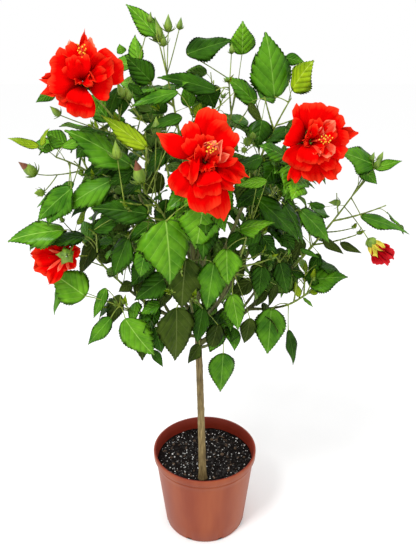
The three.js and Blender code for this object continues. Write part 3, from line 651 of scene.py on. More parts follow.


# %% [markdown]
# Each row has the pixel of the blade's foot, the pixel of its tip, the depths of both, the width
# and the tone. The stalks run to the nearest shoot of the leaf's mass.

# %% Leaves at the crown's edge
# A placed leaf's tone is partly painted light and shade: the darker tones go to leaves that lie in shade in
# the crown.
PLACED = {
    "leader": [
        ((152, 82), (127, 57), (-110, -130), 35, "deep"),
        ((122, 54), (119, 44), (-120, -120), 15, "bright"),
        ((178, 92), (130, 102), (-150, -170), 25, "mid"),
        ((175, 88), (188, 81), (-120, -125), 12, "bright"),
        ((190, 107), (186, 84), (-80, -90), 25, "mid"),
        ((196, 117), (200, 103), (-90, -95), 18, "young"),
        ((165, 101), (152, 113), (-120, -130), 25, "deep"),
        ((128, 84), (146, 95), (-120, -125), 15, "deep"),
    ],
    "top_centre": [
        ((217, 91), (161, 72), (-100, -130), 36, "deep"),
        ((205, 86), (214, 108), (-80, -85), 36, "deep"),
        ((256, 103), (230, 75), (-70, -90), 36, "mid"),
    ],
    "top_right": [
        ((257, 74), (256, 53), (-50, -50), 18, "deep"),
        ((285, 58), (304, 61), (-60, -65), 18, "mid"),
        ((249, 103), (262, 124), (-90, -95), 16, "dusky"),
        ((262, 120), (257, 146), (-150, -165), 38, "deep"),
    ],
    "right_high": [
        ((284, 156), (262, 143), (-200, -215), 34, "mid"),
    ],
    "top_left": [
        ((118, 88), (106, 118), (-190, -200), 24, "deep"),
        ((124, 90), (120, 117), (-180, -190), 24, "deep"),
        ((93, 100), (95, 112), (-190, -195), 14, "bright"),
        ((56, 91), (35, 101), (-190, -200), 16, "mid"),
    ],
    "front_left": [
        ((182, 117), (142, 128), (-170, -190), 30, "deep"),
        ((147, 148), (102, 115), (-235, -245), 28, "young"),
        ((149, 214), (92, 205), (-225, -245), 40, "deep"),
        ((94, 230), (126, 216), (-215, -215), 36, "deep"),
        ((134, 170), (108, 185), (-200, -205), 24, "deep"),
        ((128, 238), (112, 275), (-205, -215), 42, "deep"),
        ((146, 250), (138, 278), (-225, -230), 36, "mid"),
        ((154, 236), (140, 262), (-150, -155), 34, "dusky"),
        ((163, 150), (146, 176), (-150, -155), 34, "deep"),
        ((162, 174), (142, 196), (-150, -155), 34, "dusky"),
        ((151, 260), (131, 288), (-150, -155), 36, "deep"),
        ((128, 214), (104, 232), (-150, -155), 32, "dusky"),
    ],
    "left_high": [
        ((66, 144), (46, 131), (-170, -180), 30, "mid"),
        ((62, 147), (95, 134), (-185, -190), 20, "bright"),
        ((80, 130), (112, 132), (-160, -160), 16, "deep"),
        ((86, 144), (75, 158), (-150, -155), 28, "deep"),
        ((39, 147), (8, 137), (-185, -190), 15, "young"),
        ((41, 146), (47, 128), (-185, -190), 14, "young"),
        ((44, 147), (52, 151), (-180, -180), 15, "mid"),
        ((112, 163), (80, 175), (-150, -160), 28, "deep"),
        ((112, 180), (58, 206), (-195, -210), 44, "mid"),
        ((72, 188), (33, 219), (-200, -210), 38, "mid"),
        ((94, 199), (68, 214), (-170, -180), 20, "deep"),
        ((74, 183), (33, 204), (-165, -175), 26, "mid"),
        ((120, 166), (98, 170), (-130, -135), 28, "deep"),
    ],
    "left": [
        ((77, 224), (86, 207), (-175, -180), 16, "young"),
        ((36, 239), (27, 252), (-190, -190), 13, "mid"),
        ((96, 240), (76, 276), (-140, -150), 30, "dusky"),
        ((112, 206), (88, 206), (-170, -175), 16, "deep"),
        ((132, 283), (118, 292), (-130, -135), 20, "dusky"),
        ((98, 240), (82, 272), (-120, -125), 22, "deep"),
        ((142, 272), (134, 296), (-120, -120), 22, "dusky"),
    ],
    "left_low": [
        ((61, 286), (51, 316), (-160, -165), 20, "mid"),
        ((106, 288), (92, 320), (-165, -170), 20, "mid"),
        ((111, 318), (86, 345), (-160, -170), 32, "mid"),
        ((121, 295), (106, 328), (-150, -150), 28, "dusky"),
        ((155, 327), (163, 353), (-175, -180), 35, "deep"),
        ((153, 350), (163, 367), (-170, -172), 16, "deep"),
        ((160, 303), (140, 313), (-180, -185), 26, "mid"),
    ],
    "front_low": [
        ((186, 258), (180, 310), (-220, -235), 64, "dusky"),
        ((214, 262), (206, 313), (-225, -235), 45, "mid"),
        ((203, 308), (196, 344), (-190, -195), 32, "deep"),
        ((200, 345), (187, 363), (-180, -185), 24, "dusky"),
        ((218, 324), (210, 353), (-165, -170), 32, "dusky"),
        ((168, 276), (133, 300), (-185, -195), 44, "deep"),
        ((168, 282), (160, 312), (-130, -135), 30, "dusky"),
        ((178, 268), (188, 300), (-120, -120), 32, "dusky"),
    ],
    "front_right": [
        ((232, 294), (240, 330), (-195, -205), 36, "bright"),
        ((260, 230), (240, 245), (-215, -220), 28, "deep"),
        ((262, 266), (258, 297), (-175, -180), 34, "deep"),
        ((250, 318), (246, 346), (-140, -145), 28, "dusky"),
        ((262, 157), (234, 168), (-250, -258), 32, "deep"),
        ((267, 181), (236, 185), (-250, -262), 16, "bright"),
        ((264, 188), (234, 205), (-170, -175), 32, "deep"),
        ((250, 172), (240, 212), (-140, -145), 34, "dusky"),
        ((270, 204), (242, 222), (-150, -155), 30, "deep"),
        ((234, 250), (243, 278), (-110, -115), 26, "dusky"),
        ((274, 246), (262, 272), (-110, -115), 26, "deep"),
        ((258, 234), (253, 262), (-130, -130), 30, "deep"),
        ((263, 262), (252, 290), (-125, -130), 30, "dusky"),
        ((252, 280), (230, 298), (-130, -135), 28, "dusky"),
        ((276, 284), (270, 309), (-120, -120), 15, "dusky"),
        ((267, 291), (255, 307), (-120, -120), 14, "dusky"),
        ((240, 232), (226, 254), (-130, -130), 24, "deep"),
    ],
    "right_mid": [
        ((256, 198), (306, 238), (-225, -225), 45, "deep"),
        ((284, 204), (309, 242), (-200, -205), 35, "deep"),
        ((300, 210), (335, 241), (-190, -190), 36, "mid"),
        ((280, 262), (288, 294), (-160, -165), 34, "deep"),
        ((262, 236), (275, 252), (-200, -205), 22, "deep"),
        ((283, 234), (294, 250), (-190, -195), 22, "deep"),
        ((302, 238), (293, 262), (-110, -110), 24, "dusky"),
        ((320, 254), (306, 275), (-110, -110), 22, "deep"),
    ],
    "right": [
        ((360, 167), (378, 184), (-120, -125), 22, "mid"),
        ((374, 168), (402, 160), (-125, -135), 18, "bright"),
        ((325, 207), (308, 203), (-140, -142), 12, "mid"),
        ((322, 239), (345, 253), (-120, -120), 18, "dusky"),
        ((340, 243), (362, 253), (-120, -120), 14, "dusky"),
    ],
    "right_low": [
        ((300, 249), (321, 257), (-130, -130), 10, "mid"),
        ((292, 270), (308, 276), (-120, -125), 22, "deep"),
        ((311, 294), (321, 285), (-125, -128), 14, "young"),
        ((299, 297), (295, 282), (-130, -130), 12, "young"),
        ((303, 298), (315, 307), (-130, -130), 8, "bright"),
        ((288, 330), (298, 367), (-110, -115), 22, "deep"),
    ],
}


def hang_on_nearest(leaf, shoots):
    """Moves the root of a leaf's stalk to the nearest point of some shoots."""
    places = [point(shoot, i / 16) for shoot in shoots for i in range(3, 17)]
    return {**leaf, "root": min(places, key=lambda place: math.dist(place, leaf["foot"]))}


for mass in masses:
    shoots = [mass["stem"], *mass["twigs"]]
    for foot, tip, depths, width, tone in PLACED.get(mass["name"], []):
        leaf = key_leaf(mass, place_at(foot, depths[0]), place_at(tip, depths[1]), width, tone)
        mass["leaves"].append(hang_on_nearest(leaf, shoots))
print(sum(leaf["placed"] for mass in masses for leaf in mass["leaves"]), "leaves placed by hand")

# %% [markdown]
# ## Open places
#
# A crown that is equally dense everywhere looks clipped. On its best side this one is open in
# many places, and light shows between the sprays. Each open place is a circle in the camera's
# picture, and what would block the sight through it is left out. In the same way a grown leaf
# is left out where it would hide much of a leaf that was placed one by one.

# %% The test for open places
OPEN_PLACES = {  # pixel across, pixel down and radius in pixels
    "between the top shoots": [
        (157, 62, 6), (175, 48, 6), (212, 55, 9), (224, 90, 8), (246, 64, 6), (300, 97, 8),
    ],
    "above the flowers": [(218, 104, 5), (243, 101, 5), (270, 110, 5), (129, 113, 5), (170, 112, 4)],
    "on the left": [(50, 172, 10), (86, 158, 6), (60, 221, 5), (86, 256, 5), (88, 270, 6), (104, 283, 8)],
    "low on the left": [(75, 312, 12), (110, 346, 13)],
    "on the right": [
        (322, 187, 8), (357, 200, 12), (390, 190, 15), (345, 229, 9), (343, 178, 6), (374, 232, 8),
    ],
    "low on the right": [(300, 313, 13), (330, 300, 14), (316, 335, 22), (256, 320, 6), (256, 350, 12)],
    "beside the trunk": [(243, 364, 10), (236, 380, 8)],
}
CIRCLE_RIM = 0.9  # share of its radius that has to stay clear
BLADE_SPOTS = (0.15, 0.4, 0.65, 0.9)  # shares of a blade's length where it is tested
MOST_HIDDEN = 1  # spots of a leaf that may lie over leaves placed by hand
circles = np.array([circle for group in OPEN_PLACES.values() for circle in group], float)


def sighted(points):
    """Where points show in the camera's picture, and their distance from the camera."""
    apart = np.array(points) - CAMERA_PLACE
    cosine, sine = math.cos(CAMERA_TILT), math.sin(CAMERA_TILT)
    distance = apart[:, 1] * cosine - apart[:, 2] * sine
    rise = apart[:, 1] * sine + apart[:, 2] * cosine
    across = PICTURE[0] / 2 + FOCAL * apart[:, 0] / distance
    return np.stack([across, PICTURE[1] / 2 - FOCAL * rise / distance], 1), distance


def blade_bar(leaf):
    """A leaf as it shows in the picture: foot and tip, half width and distance."""
    ends, distance = sighted([leaf["foot"], leaf["foot"] + leaf["direction"] * leaf["length"]])
    return ends, leaf["width"] * HALF_BLADE * FOCAL / distance.mean(), distance.mean()


placed_bars = [blade_bar(leaf) for mass in masses for leaf in mass["leaves"] if leaf["placed"]]
placed_start, placed_end = (np.array([bar[0][k] for bar in placed_bars]) for k in (0, 1))
placed_width = np.array([bar[1] for bar in placed_bars])
placed_distance = np.array([bar[2] for bar in placed_bars])


def in_the_way(leaf):
    """Whether a leaf blocks an open place or hides a leaf that was placed one by one."""
    ends, half, distance = blade_bar(leaf)
    if (reach(circles[:, :2], ends[:1], ends[1:], half)[:, 0] < circles[:, 2] * CIRCLE_RIM).any():
        return True
    spots = np.array([ends[0] + (ends[1] - ends[0]) * t for t in BLADE_SPOTS])
    hidden = reach(spots, placed_start, placed_end, placed_width) < half * 0.3
    return bool(hidden[:, distance < placed_distance].sum() > MOST_HIDDEN)


for mass in masses:
    mass["leaves"] = [leaf for leaf in mass["leaves"] if leaf["placed"] or not in_the_way(leaf)]
print(len(circles), "open places,", sum(len(mass["leaves"]) for mass in masses), "leaves left")

# %% [markdown]
# The real crown is fuller. The same rule now runs on with a looser test: finer twigs, leaves
# between the first ones, and leaves on the upper half of each bough. They stay inside the box of
# their mass, so that the crown keeps its outline and its gaps. Sprays at the top and the sides
# are thin and let the sky through, while the middle of the crown is thick and dark.

# %% Grow finer twigs and the leaves between
FINER = {"spacing": 0.28, "margin": 0, "keep": 1.5, "tries": 16, "fine": True}
FINE_TWIGS = 3  # more on each mass
STEM_LEAVES, TWIG_LEAVES, BOUGH_LEAVES = 9, 5, 7  # finer ones, at full number
FINE_SEED = 1000  # added to a mass's seed, so that this stream is another one
BOX_SLACK = 6
FULLNESS = {  # share of the full number of finer leaves, where it isn't 1
    "leader": 0.25, "top_centre": 0.25, "top_right": 0.25, "top_left": 0.6, "left_high": 0.6,
    "right_high": 0.7, "right": 0.25, "right_low": 0.7, "rear_left": 1.1, "rear_right": 1.0,
    "high_left": 0.9, "back_top": 0.9, "low": 0.5, "left": 0.6, "side_right": 1.3, "side_left": 1.5,
}


def trim_to_box(mass):
    """Drops the finer leaves that reach outside the mass's packed box."""
    low, high = (np.array(corner) * 1000 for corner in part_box("mass_" + mass["name"]))
    kept = []
    for leaf in mass["leaves"]:
        tip = leaf["foot"] + leaf["direction"] * leaf["length"]
        inside = (tip > low - BOX_SLACK).all() and (tip < high + BOX_SLACK).all()
        if not leaf["fine"] or inside and not in_the_way(leaf):
            kept.append(leaf)
    mass["leaves"] = kept


for index, mass in enumerate(masses):
    draw = stream(mass["seed"] + FINE_SEED)
    full = FULLNESS.get(mass["name"], 1)
    mass["fine_twigs"] = grow_twigs(mass, index, draw, FINE_TWIGS, lift=0.1, short=0.8)
    runs = [(mass["stem"], STEM_LEAVES * full, 0.02, 0.9)]
    runs += [(twig, TWIG_LEAVES * full, 0.15, 0.8) for twig in mass["twigs"] + mass["fine_twigs"]]
    runs += [(limbs[mass["name"]][0], BOUGH_LEAVES * full, 0.35, 0.0)]
    grow_leaves(mass, index, draw, runs, FINER)
    trim_to_box(mass)
print(sum(len(mass["leaves"]) for mass in masses), "leaves in all")

# %% [markdown]
# ## Joined pieces
#
# Hundreds of leaves as separate objects would be slow and awkward, so each kind becomes one mesh.
# A pattern shape is made once with mesh operators. Its corners are then moved to each place with
# NumPy, and all the copies are written to one mesh in one go.

# %% Helpers for joined pieces
MM = 0.001


def pattern_of(bm):
    """Corners and faces of a bmesh as arrays. The bmesh is freed."""
    bm.verts.index_update()
    corners = np.array([v.co[:] for v in bm.verts])
    faces = [[v.index for v in f.verts] for f in bm.faces]
    bm.free()
    return corners, faces


def write_mesh(name, copies, faces, uv=None):
    """One mesh from copies of a pattern, given as (copy, corner, xyz) in millimetres."""
    count, corners = copies.shape[:2]
    sizes = np.array([len(f) for f in faces])
    loops = np.concatenate([np.array(f) for f in faces])
    turn = np.arange(count)[:, None]
    mesh = bpy.data.meshes.new(name)
    mesh.vertices.add(count * corners)
    mesh.vertices.foreach_set("co", (copies * MM).astype(np.float32).ravel())
    mesh.loops.add(count * len(loops))
    mesh.loops.foreach_set("vertex_index", (loops + corners * turn).astype(np.int32).ravel())
    mesh.polygons.add(count * len(faces))
    starts = np.concatenate([[0], np.cumsum(sizes)[:-1]])
    mesh.polygons.foreach_set("loop_start", (starts + len(loops) * turn).astype(np.int32).ravel())
    mesh.polygons.foreach_set("use_smooth", np.ones(count * len(faces), bool))
    if uv is not None:
        layer = mesh.uv_layers.new(name="across_and_along")
        layer.data.foreach_set("uv", np.tile(uv[loops], (count, 1)).astype(np.float32).ravel())
    mesh.update(calc_edges=True)
    return mesh


def add_object(name, data):
    """A new object in the scene."""
    made = bpy.data.objects.new(name, data)
    bpy.context.scene.collection.objects.link(made)
    return made


def show(name, mesh, material, slot, *replaced):
    """Puts a finished mesh in the scene, on the frame's one body."""
    piece = add_object(name, mesh)
    mesh.materials.append(material)
    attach(piece, "root")
    if replaced:
        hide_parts(*replaced)
    mesh.calc_loop_triangles()
    print(f"{name}: {len(mesh.loop_triangles)} triangles")
    return piece


MASS_NODES = ["mass_" + mass["name"] for mass in masses]
BOUGH_NODES = ["bough_" + name for name in BOUGHS]


def show_foliage(name, copies, faces, material, slot):
    """Copies of a pattern as one piece of all the masses."""
    return show(name, write_mesh(name, copies, faces), material, slot, *MASS_NODES)


# %% [markdown]
# ## Tubes
#
# Trunk, boughs, twigs, stalks and stamens are all tubes along a curve. The pattern is a grid whose
# one side is rolled up into a circle: its corners hold how far along and which way round they
# are. The seam is merged and both ends are filled, so the tube is closed.

# %% Tube pattern and sweep
def tube_pattern(sides, rows):
    """A closed tube of radius 1 from z = 0 to z = 1."""
    bm = bmesh.new()
    bmesh.ops.create_grid(bm, x_segments=sides, y_segments=rows, size=0.5)
    for v in bm.verts:
        angle = (v.co.x + 0.5) * TURN
        v.co = Vector((math.cos(angle), math.sin(angle), v.co.y + 0.5))
    bmesh.ops.remove_doubles(bm, verts=bm.verts, dist=1e-5)
    bmesh.ops.holes_fill(bm, edges=[e for e in bm.edges if e.is_boundary], sides=sides)
    bmesh.ops.recalc_face_normals(bm, faces=bm.faces)
    return pattern_of(bm)


def rows_unit(a):
    return a / np.sqrt((a * a).sum(-1, keepdims=True))


def sweep(pattern, curves, roots, ends, relief=None):
    """Copies of a tube pattern, one along each curve, tapering from root to end radius."""
    curves = np.array(curves, float)[:, None]
    t = pattern[:, 2][None, :, None]
    a, b, c = curves[:, :, 0], curves[:, :, 1], curves[:, :, 2]
    centre = a * (1 - t) ** 2 + b * 2 * (1 - t) * t + c * t * t
    way = rows_unit((b - a) * (1 - t) + (c - b) * t)
    chord = rows_unit(c - a)
    start = np.where(np.abs(chord[..., 2:]) < 0.8, UP, vec(1, 0, 0))
    lead = rows_unit(start - chord * (start * chord).sum(-1, keepdims=True))
    side = rows_unit(lead - way * (lead * way).sum(-1, keepdims=True))
    other = np.cross(side, way)
    roots, ends = (np.array(r, float)[:, None, None] for r in (roots, ends))
    radius = roots + (ends - roots) * t
    if relief is not None:
        radius = radius * relief
    x, y = pattern[:, 0][None, :, None], pattern[:, 1][None, :, None]
    return centre + side * x * radius + other * y * radius


def show_tubes(name, tube, rows, material, slot, relief=None):
    """Tubes as one piece of foliage. A row is (curve, radius at its root, radius at its tip)."""
    corners, faces = tube
    show_foliage(name, sweep(corners, *zip(*rows), relief), faces, material, slot)


# %% [markdown]
# ## Bark
#
# The bark of a young hibiscus trunk is olive brown and nearly smooth, with fine upright furrows,
# pale corky dots and low knots where leaves have fallen. The relief is a factor on the radius of
# each ring, from noise that is stretched along the limb, plus a knot every few centimetres. Each
# bough swells into a collar where it leaves its parent, and the trunk flares at the soil.

# %% Bark relief
KNOT_SPREAD = 2.2  # millimetres along the limb
LUMPS = 0.07  # how much a limb swells and narrows along its way, as a share of its radius


def bark_relief(pattern, length, seed, furrow, knot_step, knot_height):
    """A factor on the radius at each corner of a tube."""
    factors = []
    for x, y, t in pattern:
        z = t * length
        upright = noise.noise(Vector((x * 3.1 + seed * 9, y * 3.1, z * 0.03)))
        grain = noise.noise(Vector((x * 7, y * 7 + seed * 5, z * 0.14)))
        lump = noise.noise(Vector((x * 0.9, y * 0.9 - seed * 3, z * 0.06)))
        index = round(z / knot_step)
        facing = math.cos(math.atan2(y, x) - index * GOLDEN)
        ridge = math.exp(-(((z - index * knot_step) / KNOT_SPREAD) ** 2))
        knot = knot_height * ridge * max(0.25, facing)
        factors.append(1 + furrow * upright + 0.5 * furrow * grain + LUMPS * lump + knot)
    return np.array(factors)


def bark_finish(name, low, middle, high, roughness):
    """Bark in upright streaks of three colours, with broad darker places."""
    material, shader = new_finish(name, middle, roughness)
    stretched = blotches(material, 260, 6, (1, 1, 0.12))
    broad = blotches(material, 40, 3, (1, 1, 0.5))
    colour = ramp(material, stretched, [(0.32, low), (0.5, middle), (0.68, high)])
    feed(material, shader.inputs["Base Color"], mixed(material, broad, colour, low))
    bumped(material, shader, stretched, 0.5, 0.0006)
    return material


trunk_finish = bark_finish("trunk_bark", srgb(84, 68, 36), srgb(138, 118, 68), srgb(186, 164, 112), 0.8)
bough_finish = bark_finish("bough_bark", srgb(58, 62, 22), srgb(106, 110, 44), srgb(146, 146, 80), 0.7)
print("two bark finishes")

# %% Trunk
TRUNK_BARK = {"seed": 1, "furrow": 0.055, "knot_step": 36, "knot_height": 0.16}
FLARE, FLARE_LENGTH = 2.8, 22  # at the soil, in millimetres
CROTCH, CROTCH_LENGTH = 0.35, 9  # where the boughs fork: a share of the radius, and millimetres

trunk_corners, trunk_faces = tube_pattern(28, 130)
trunk_curve = limbs["trunk"][0]
trunk_length = curve_length(trunk_curve)
trunk_relief = bark_relief(trunk_corners, trunk_length, **TRUNK_BARK)
trunk_relief += FLARE / TRUNK_RADII[0] * np.exp(-trunk_corners[:, 2] * trunk_length / FLARE_LENGTH)
trunk_relief += CROTCH * np.exp(-(1 - trunk_corners[:, 2]) * trunk_length / CROTCH_LENGTH)
trunk_copy = sweep(trunk_corners, *zip(*[limbs["trunk"]]), trunk_relief[None, :, None])
show("trunk", write_mesh("trunk", trunk_copy, trunk_faces), trunk_finish, "trunk_bark", "trunk")

# %% Boughs
BOUGH_BARK = {"furrow": 0.05, "knot_step": 24, "knot_height": 0.2}
FIRST_BOUGH_SEED = 2
SWELL, SWELL_LENGTH = 0.45, 8  # at a bough's root: a share of its radius, and millimetres

bough_corners, bough_faces = tube_pattern(14, 44)
bough_lines = [limbs[name] for name in BOUGHS]
bough_relief = np.array([
    bark_relief(bough_corners, curve_length(curve), FIRST_BOUGH_SEED + order, **BOUGH_BARK)
    + SWELL * np.exp(-bough_corners[:, 2] * curve_length(curve) / SWELL_LENGTH)
    for order, (curve, _, _) in enumerate(bough_lines)
])
bough_copies = sweep(bough_corners, *zip(*bough_lines), bough_relief[..., None])
bough_mesh = write_mesh("boughs", bough_copies, bough_faces)
show("boughs", bough_mesh, bough_finish, "bough_bark", *BOUGH_NODES)

# %% [markdown]
# ## Green shoots and leaf stalks
#
# This year's stems and twigs are green. They thin out toward the tip and swell a little at knees
# along their way. Leaf stalks are thinner still and a little thicker at both ends. The knees and
# the thick ends are factors on the radius of a tube, so they need no corners of their own.

# %% Shoots
KNEES = 7  # on a shoot
KNEE_HEIGHT = 0.12  # share of the radius
STEM_SHARE = 0.92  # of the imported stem's radius
STEM_TIP = 1.3
TWIG_RADII = (2.1, 1.1)
FINE_TWIG_RADII = (1.6, 0.9)


def green_finish(name, low, high, roughness=0.5):
    """A soft green skin in long patches of two colours."""
    material, shader = new_finish(name, high, roughness)
    two_tone(material, shader, blotches(material, 120, 3, (1, 1, 0.3)), low, high)
    bumped(material, shader, blotches(material, 900, 2), 0.15, 0.0003)
    return material


shoot_finish = green_finish("green_shoot", srgb(88, 108, 24), srgb(142, 160, 50))
stalk_finish = green_finish("leaf_stalk", srgb(92, 112, 24), srgb(142, 162, 48))

shoot_tube = tube_pattern(8, 14)
knees = 1 + KNEE_HEIGHT * np.cos(shoot_tube[0][:, 2] * TURN * KNEES)
shoot_rows = []
for mass in masses:
    shoot_rows.append((mass["stem"], mass["radius"] * STEM_SHARE, STEM_TIP))
    shoot_rows += [(twig, *TWIG_RADII) for twig in mass["twigs"]]
    shoot_rows += [(twig, *FINE_TWIG_RADII) for twig in mass["fine_twigs"]]
show_tubes("green_shoots", shoot_tube, shoot_rows, shoot_finish, "foliage_mid", knees[None, :, None])

stalk_tube = tube_pattern(5, 4)
swelling = 1 + 0.5 * (2 * stalk_tube[0][:, 2] - 1) ** 4

# %% [markdown]
# ## Leaves
#
# A hibiscus leaf is egg shaped: nearly straight across the base, widest low down, with a sharp
# tip and coarse teeth that point forward. The pattern is a grid of a few columns and rows, pulled
# in to that outline. Each edge at its sides is cut in four, and two of the new corners are pushed
# out to be teeth. A copy, turned over and sunk a little in the middle, is the underside, so that
# each leaf is a closed body. Leaves that were placed one by one show most and get a finer grid.

# %% Leaf pattern
LEAF_OUTLINE = [  # (share of the length, share of the half width)
    (0, 0.12), (0.03, 0.38), (0.08, 0.6), (0.16, 0.82), (0.26, 0.97), (0.35, 1), (0.45, 0.95),
    (0.55, 0.83), (0.65, 0.66), (0.75, 0.47), (0.85, 0.27), (0.93, 0.11), (1, 0),
]
TOOTH_OUT = 0.09  # share of the half width
FIRST_TOOTH = 0.12  # share of the length below which the edge is smooth
TOOTH_SHIFT = {1: (0.4, 1), 2: (0.52, 0), 3: (0.9, 1)}  # of a cut: place in its row, is it a tooth
LEAF_DEPTH = 0.011  # share of the length, between the upper side and the underside


def leaf_pattern(columns, rows):
    """Corners as (across, along, lift), faces, and which faces are the underside."""
    bm = bmesh.new()
    under_flag = bm.faces.layers.int.new("under")
    stations = [(i / rows) ** 1.2 for i in range(rows + 1)]
    bmesh.ops.create_grid(bm, x_segments=columns, y_segments=rows, size=0.5)
    rim = [e for e in bm.edges if e.is_boundary and abs(e.verts[0].co.x - e.verts[1].co.x) < 1e-6]
    bmesh.ops.subdivide_edges(bm, edges=rim, cuts=3)
    for v in bm.verts:
        row = (v.co.y + 0.5) * rows
        whole = math.floor(row + 0.01)
        place, tooth = TOOTH_SHIFT.get(round((row - whole) * 4), (0, 0))
        along = np.interp(whole + place, range(rows + 1), stations)
        half = np.interp(along, *zip(*LEAF_OUTLINE))
        side = 2 * v.co.x
        out = TOOTH_OUT * (1 - 0.45 * along) * tooth * (along > FIRST_TOOTH)
        v.co = Vector((side * half + math.copysign(out, side), along, 0))
    copy = bmesh.ops.duplicate(bm, geom=bm.verts[:] + bm.edges[:] + bm.faces[:])["geom"]
    under = [g for g in copy if isinstance(g, bmesh.types.BMFace)]
    under_corners = {v for f in under for v in f.verts}
    for v in under_corners:
        v.co.z = 0 if v.is_boundary else -LEAF_DEPTH
    bmesh.ops.reverse_faces(bm, faces=under)
    for f in under:
        f[under_flag] = 1
    bmesh.ops.remove_doubles(bm, verts=bm.verts, dist=1e-4)
    flags = np.array([f[under_flag] for f in bm.faces])
    corners, faces = pattern_of(bm)
    uv = np.stack([corners[:, 0] * 0.5 + 0.5, corners[:, 1]], 1)
    return {"corners": corners, "faces": faces, "under": flags, "uv": uv}


plain_leaf = leaf_pattern(4, 6)
fine_leaf = leaf_pattern(6, 9)
print(len(plain_leaf["faces"]), "faces a leaf,", len(fine_leaf["faces"]), "on one placed by hand")

# %% [markdown]
# Copies of one flat leaf would look stamped out. Each copy gets its own droop, fold along the
# midrib, twist and wave of its edge, from a seeded stream. The veins are drawn by the leaf's own
# map: across it and along it. Side veins run forward from the midrib at an angle, and the blade
# bulges between them.

# %% Bend the leaves
FOLD_RIM = 1.1  # half widths from the midrib, past which a tooth lifts no further
RUFFLES = 1.7  # waves along an edge
ARCH = 0.16  # how far the sides sink below the midrib, as a share of the width


def bend_leaves(leaves, pattern):
    """Corner positions of many leaves, in millimetres."""
    across, along, lift = (pattern["corners"][:, k][None, :] for k in range(3))

    def column(key):
        return np.array([leaf[key] for leaf in leaves])

    size, width, curl, fold = (column(key)[:, None] for key in ("length", "width", "curl", "fold"))
    twist, wave, phase = (column(key)[:, None] for key in ("twist", "wave", "phase"))
    x = across * width / 2
    ridge = np.minimum(np.abs(across), FOLD_RIM)
    ruffle = np.sin(TURN * RUFFLES * along + phase + np.sign(across) * 1.3)
    ruffle = wave * size * ruffle * ridge**2
    arch = -ARCH * width * ridge**2.4
    height = fold * np.abs(x) * (0.6 + 0.4 * along) + ruffle + arch + lift * size
    angle = twist * along
    turned_x = x * np.cos(angle) - height * np.sin(angle)
    turned_h = x * np.sin(angle) + height * np.cos(angle)
    drop = curl * size * along**2 + 0.05 * size * along**5
    forward = size * along * (1 - 0.25 * curl * along)
    foot, direction, normal = column("foot"), column("direction"), column("normal")
    side = np.cross(direction, normal)
    return (
        foot[:, None] + direction[:, None] * forward[..., None]
        + side[:, None] * turned_x[..., None] + normal[:, None] * (turned_h - drop)[..., None]
    )


# %% Leaf finishes
SIDE_VEINS = 5.2  # pairs on a whole leaf
VEIN_SLOPE = 0.9  # how far forward a side vein runs, for each unit across


def own_map(material):
    """A piece's own map, and how far across and along a place on it lies."""
    place = add_node(material, "ShaderNodeUVMap", {"uv_map": "across_and_along"}).outputs["UV"]
    parts = add_node(material, "ShaderNodeSeparateXYZ", _0=place)
    return place, parts.outputs["X"], parts.outputs["Y"]


def vein_maps(material):
    """Thin lines on the midrib and the side veins, and the swell of the blade between them."""
    _, place_across, place_along = own_map(material)

    def worked(how, a, b=0.0, c=0.0):
        return add_node(material, "ShaderNodeMath", {"operation": how}, _0=a, _1=b, _2=c).outputs[0]

    across = worked("ABSOLUTE", worked("SUBTRACT", place_across, 0.5))
    slanted = worked("SUBTRACT", place_along, worked("MULTIPLY", across, VEIN_SLOPE))
    count = worked("FRACT", worked("MULTIPLY", slanted, SIDE_VEINS))
    apart = worked("ABSOLUTE", worked("SUBTRACT", count, 0.5))
    swell = worked("SINE", worked("MULTIPLY", worked("SUBTRACT", 0.5, apart), math.pi))
    side_line = worked("MULTIPLY", worked("SUBTRACT", apart, 0.46), 9.0)
    midrib = worked("SUBTRACT", 1.0, worked("MULTIPLY", across, 52.0))
    line = worked("MAXIMUM", worked("MAXIMUM", side_line, midrib), 0.0)
    return line, swell


def leaf_finish(name, low, high, vein, roughness, coat):
    """A waxy blade in broad patches of two greens, with paler veins."""
    material, shader = new_finish(
        name, high, roughness, Coat_Weight=coat, Coat_Roughness=0.22, Specular_IOR_Level=0.04
    )
    blade = ramp(material, blotches(material, 26, 3), [(0.36, low), (0.64, high)])
    line, swell = vein_maps(material)
    feed(material, shader.inputs["Base Color"], mixed(material, line, blade, vein))
    bumped(material, shader, swell, 0.8, 0.0022)
    return material


# In a row, shade and light are the darker and the lighter green of its random patches. Between the rows,
# the darker tones are partly painted shade and the lighter ones partly painted light, besides the leaves'
# own greens.
TONES = {  # shade, light, vein, roughness and coat
    "young": (srgb(108, 140, 8), srgb(150, 178, 22), srgb(180, 202, 76), 0.5, 0.1),
    "bright": (srgb(66, 122, 10), srgb(106, 164, 28), srgb(150, 194, 84), 0.45, 0.14),
    "mid": (srgb(47, 98, 8), srgb(84, 140, 22), srgb(122, 168, 66), 0.42, 0.12),
    "deep": (srgb(28, 62, 3), srgb(52, 98, 11), srgb(86, 126, 44), 0.42, 0.06),
    "dusky": (srgb(38, 56, 8), srgb(66, 84, 24), srgb(94, 108, 54), 0.5, 0.03),
}
UNDERSIDE = (srgb(74, 112, 34), srgb(108, 142, 62), srgb(138, 164, 92), 0.65, 0.0)
leaf_finishes = {tone: leaf_finish("leaf_" + tone, *row) for tone, row in TONES.items()}
under_finish = leaf_finish("leaf_underside", *UNDERSIDE)
print(len(leaf_finishes), "leaf tones")
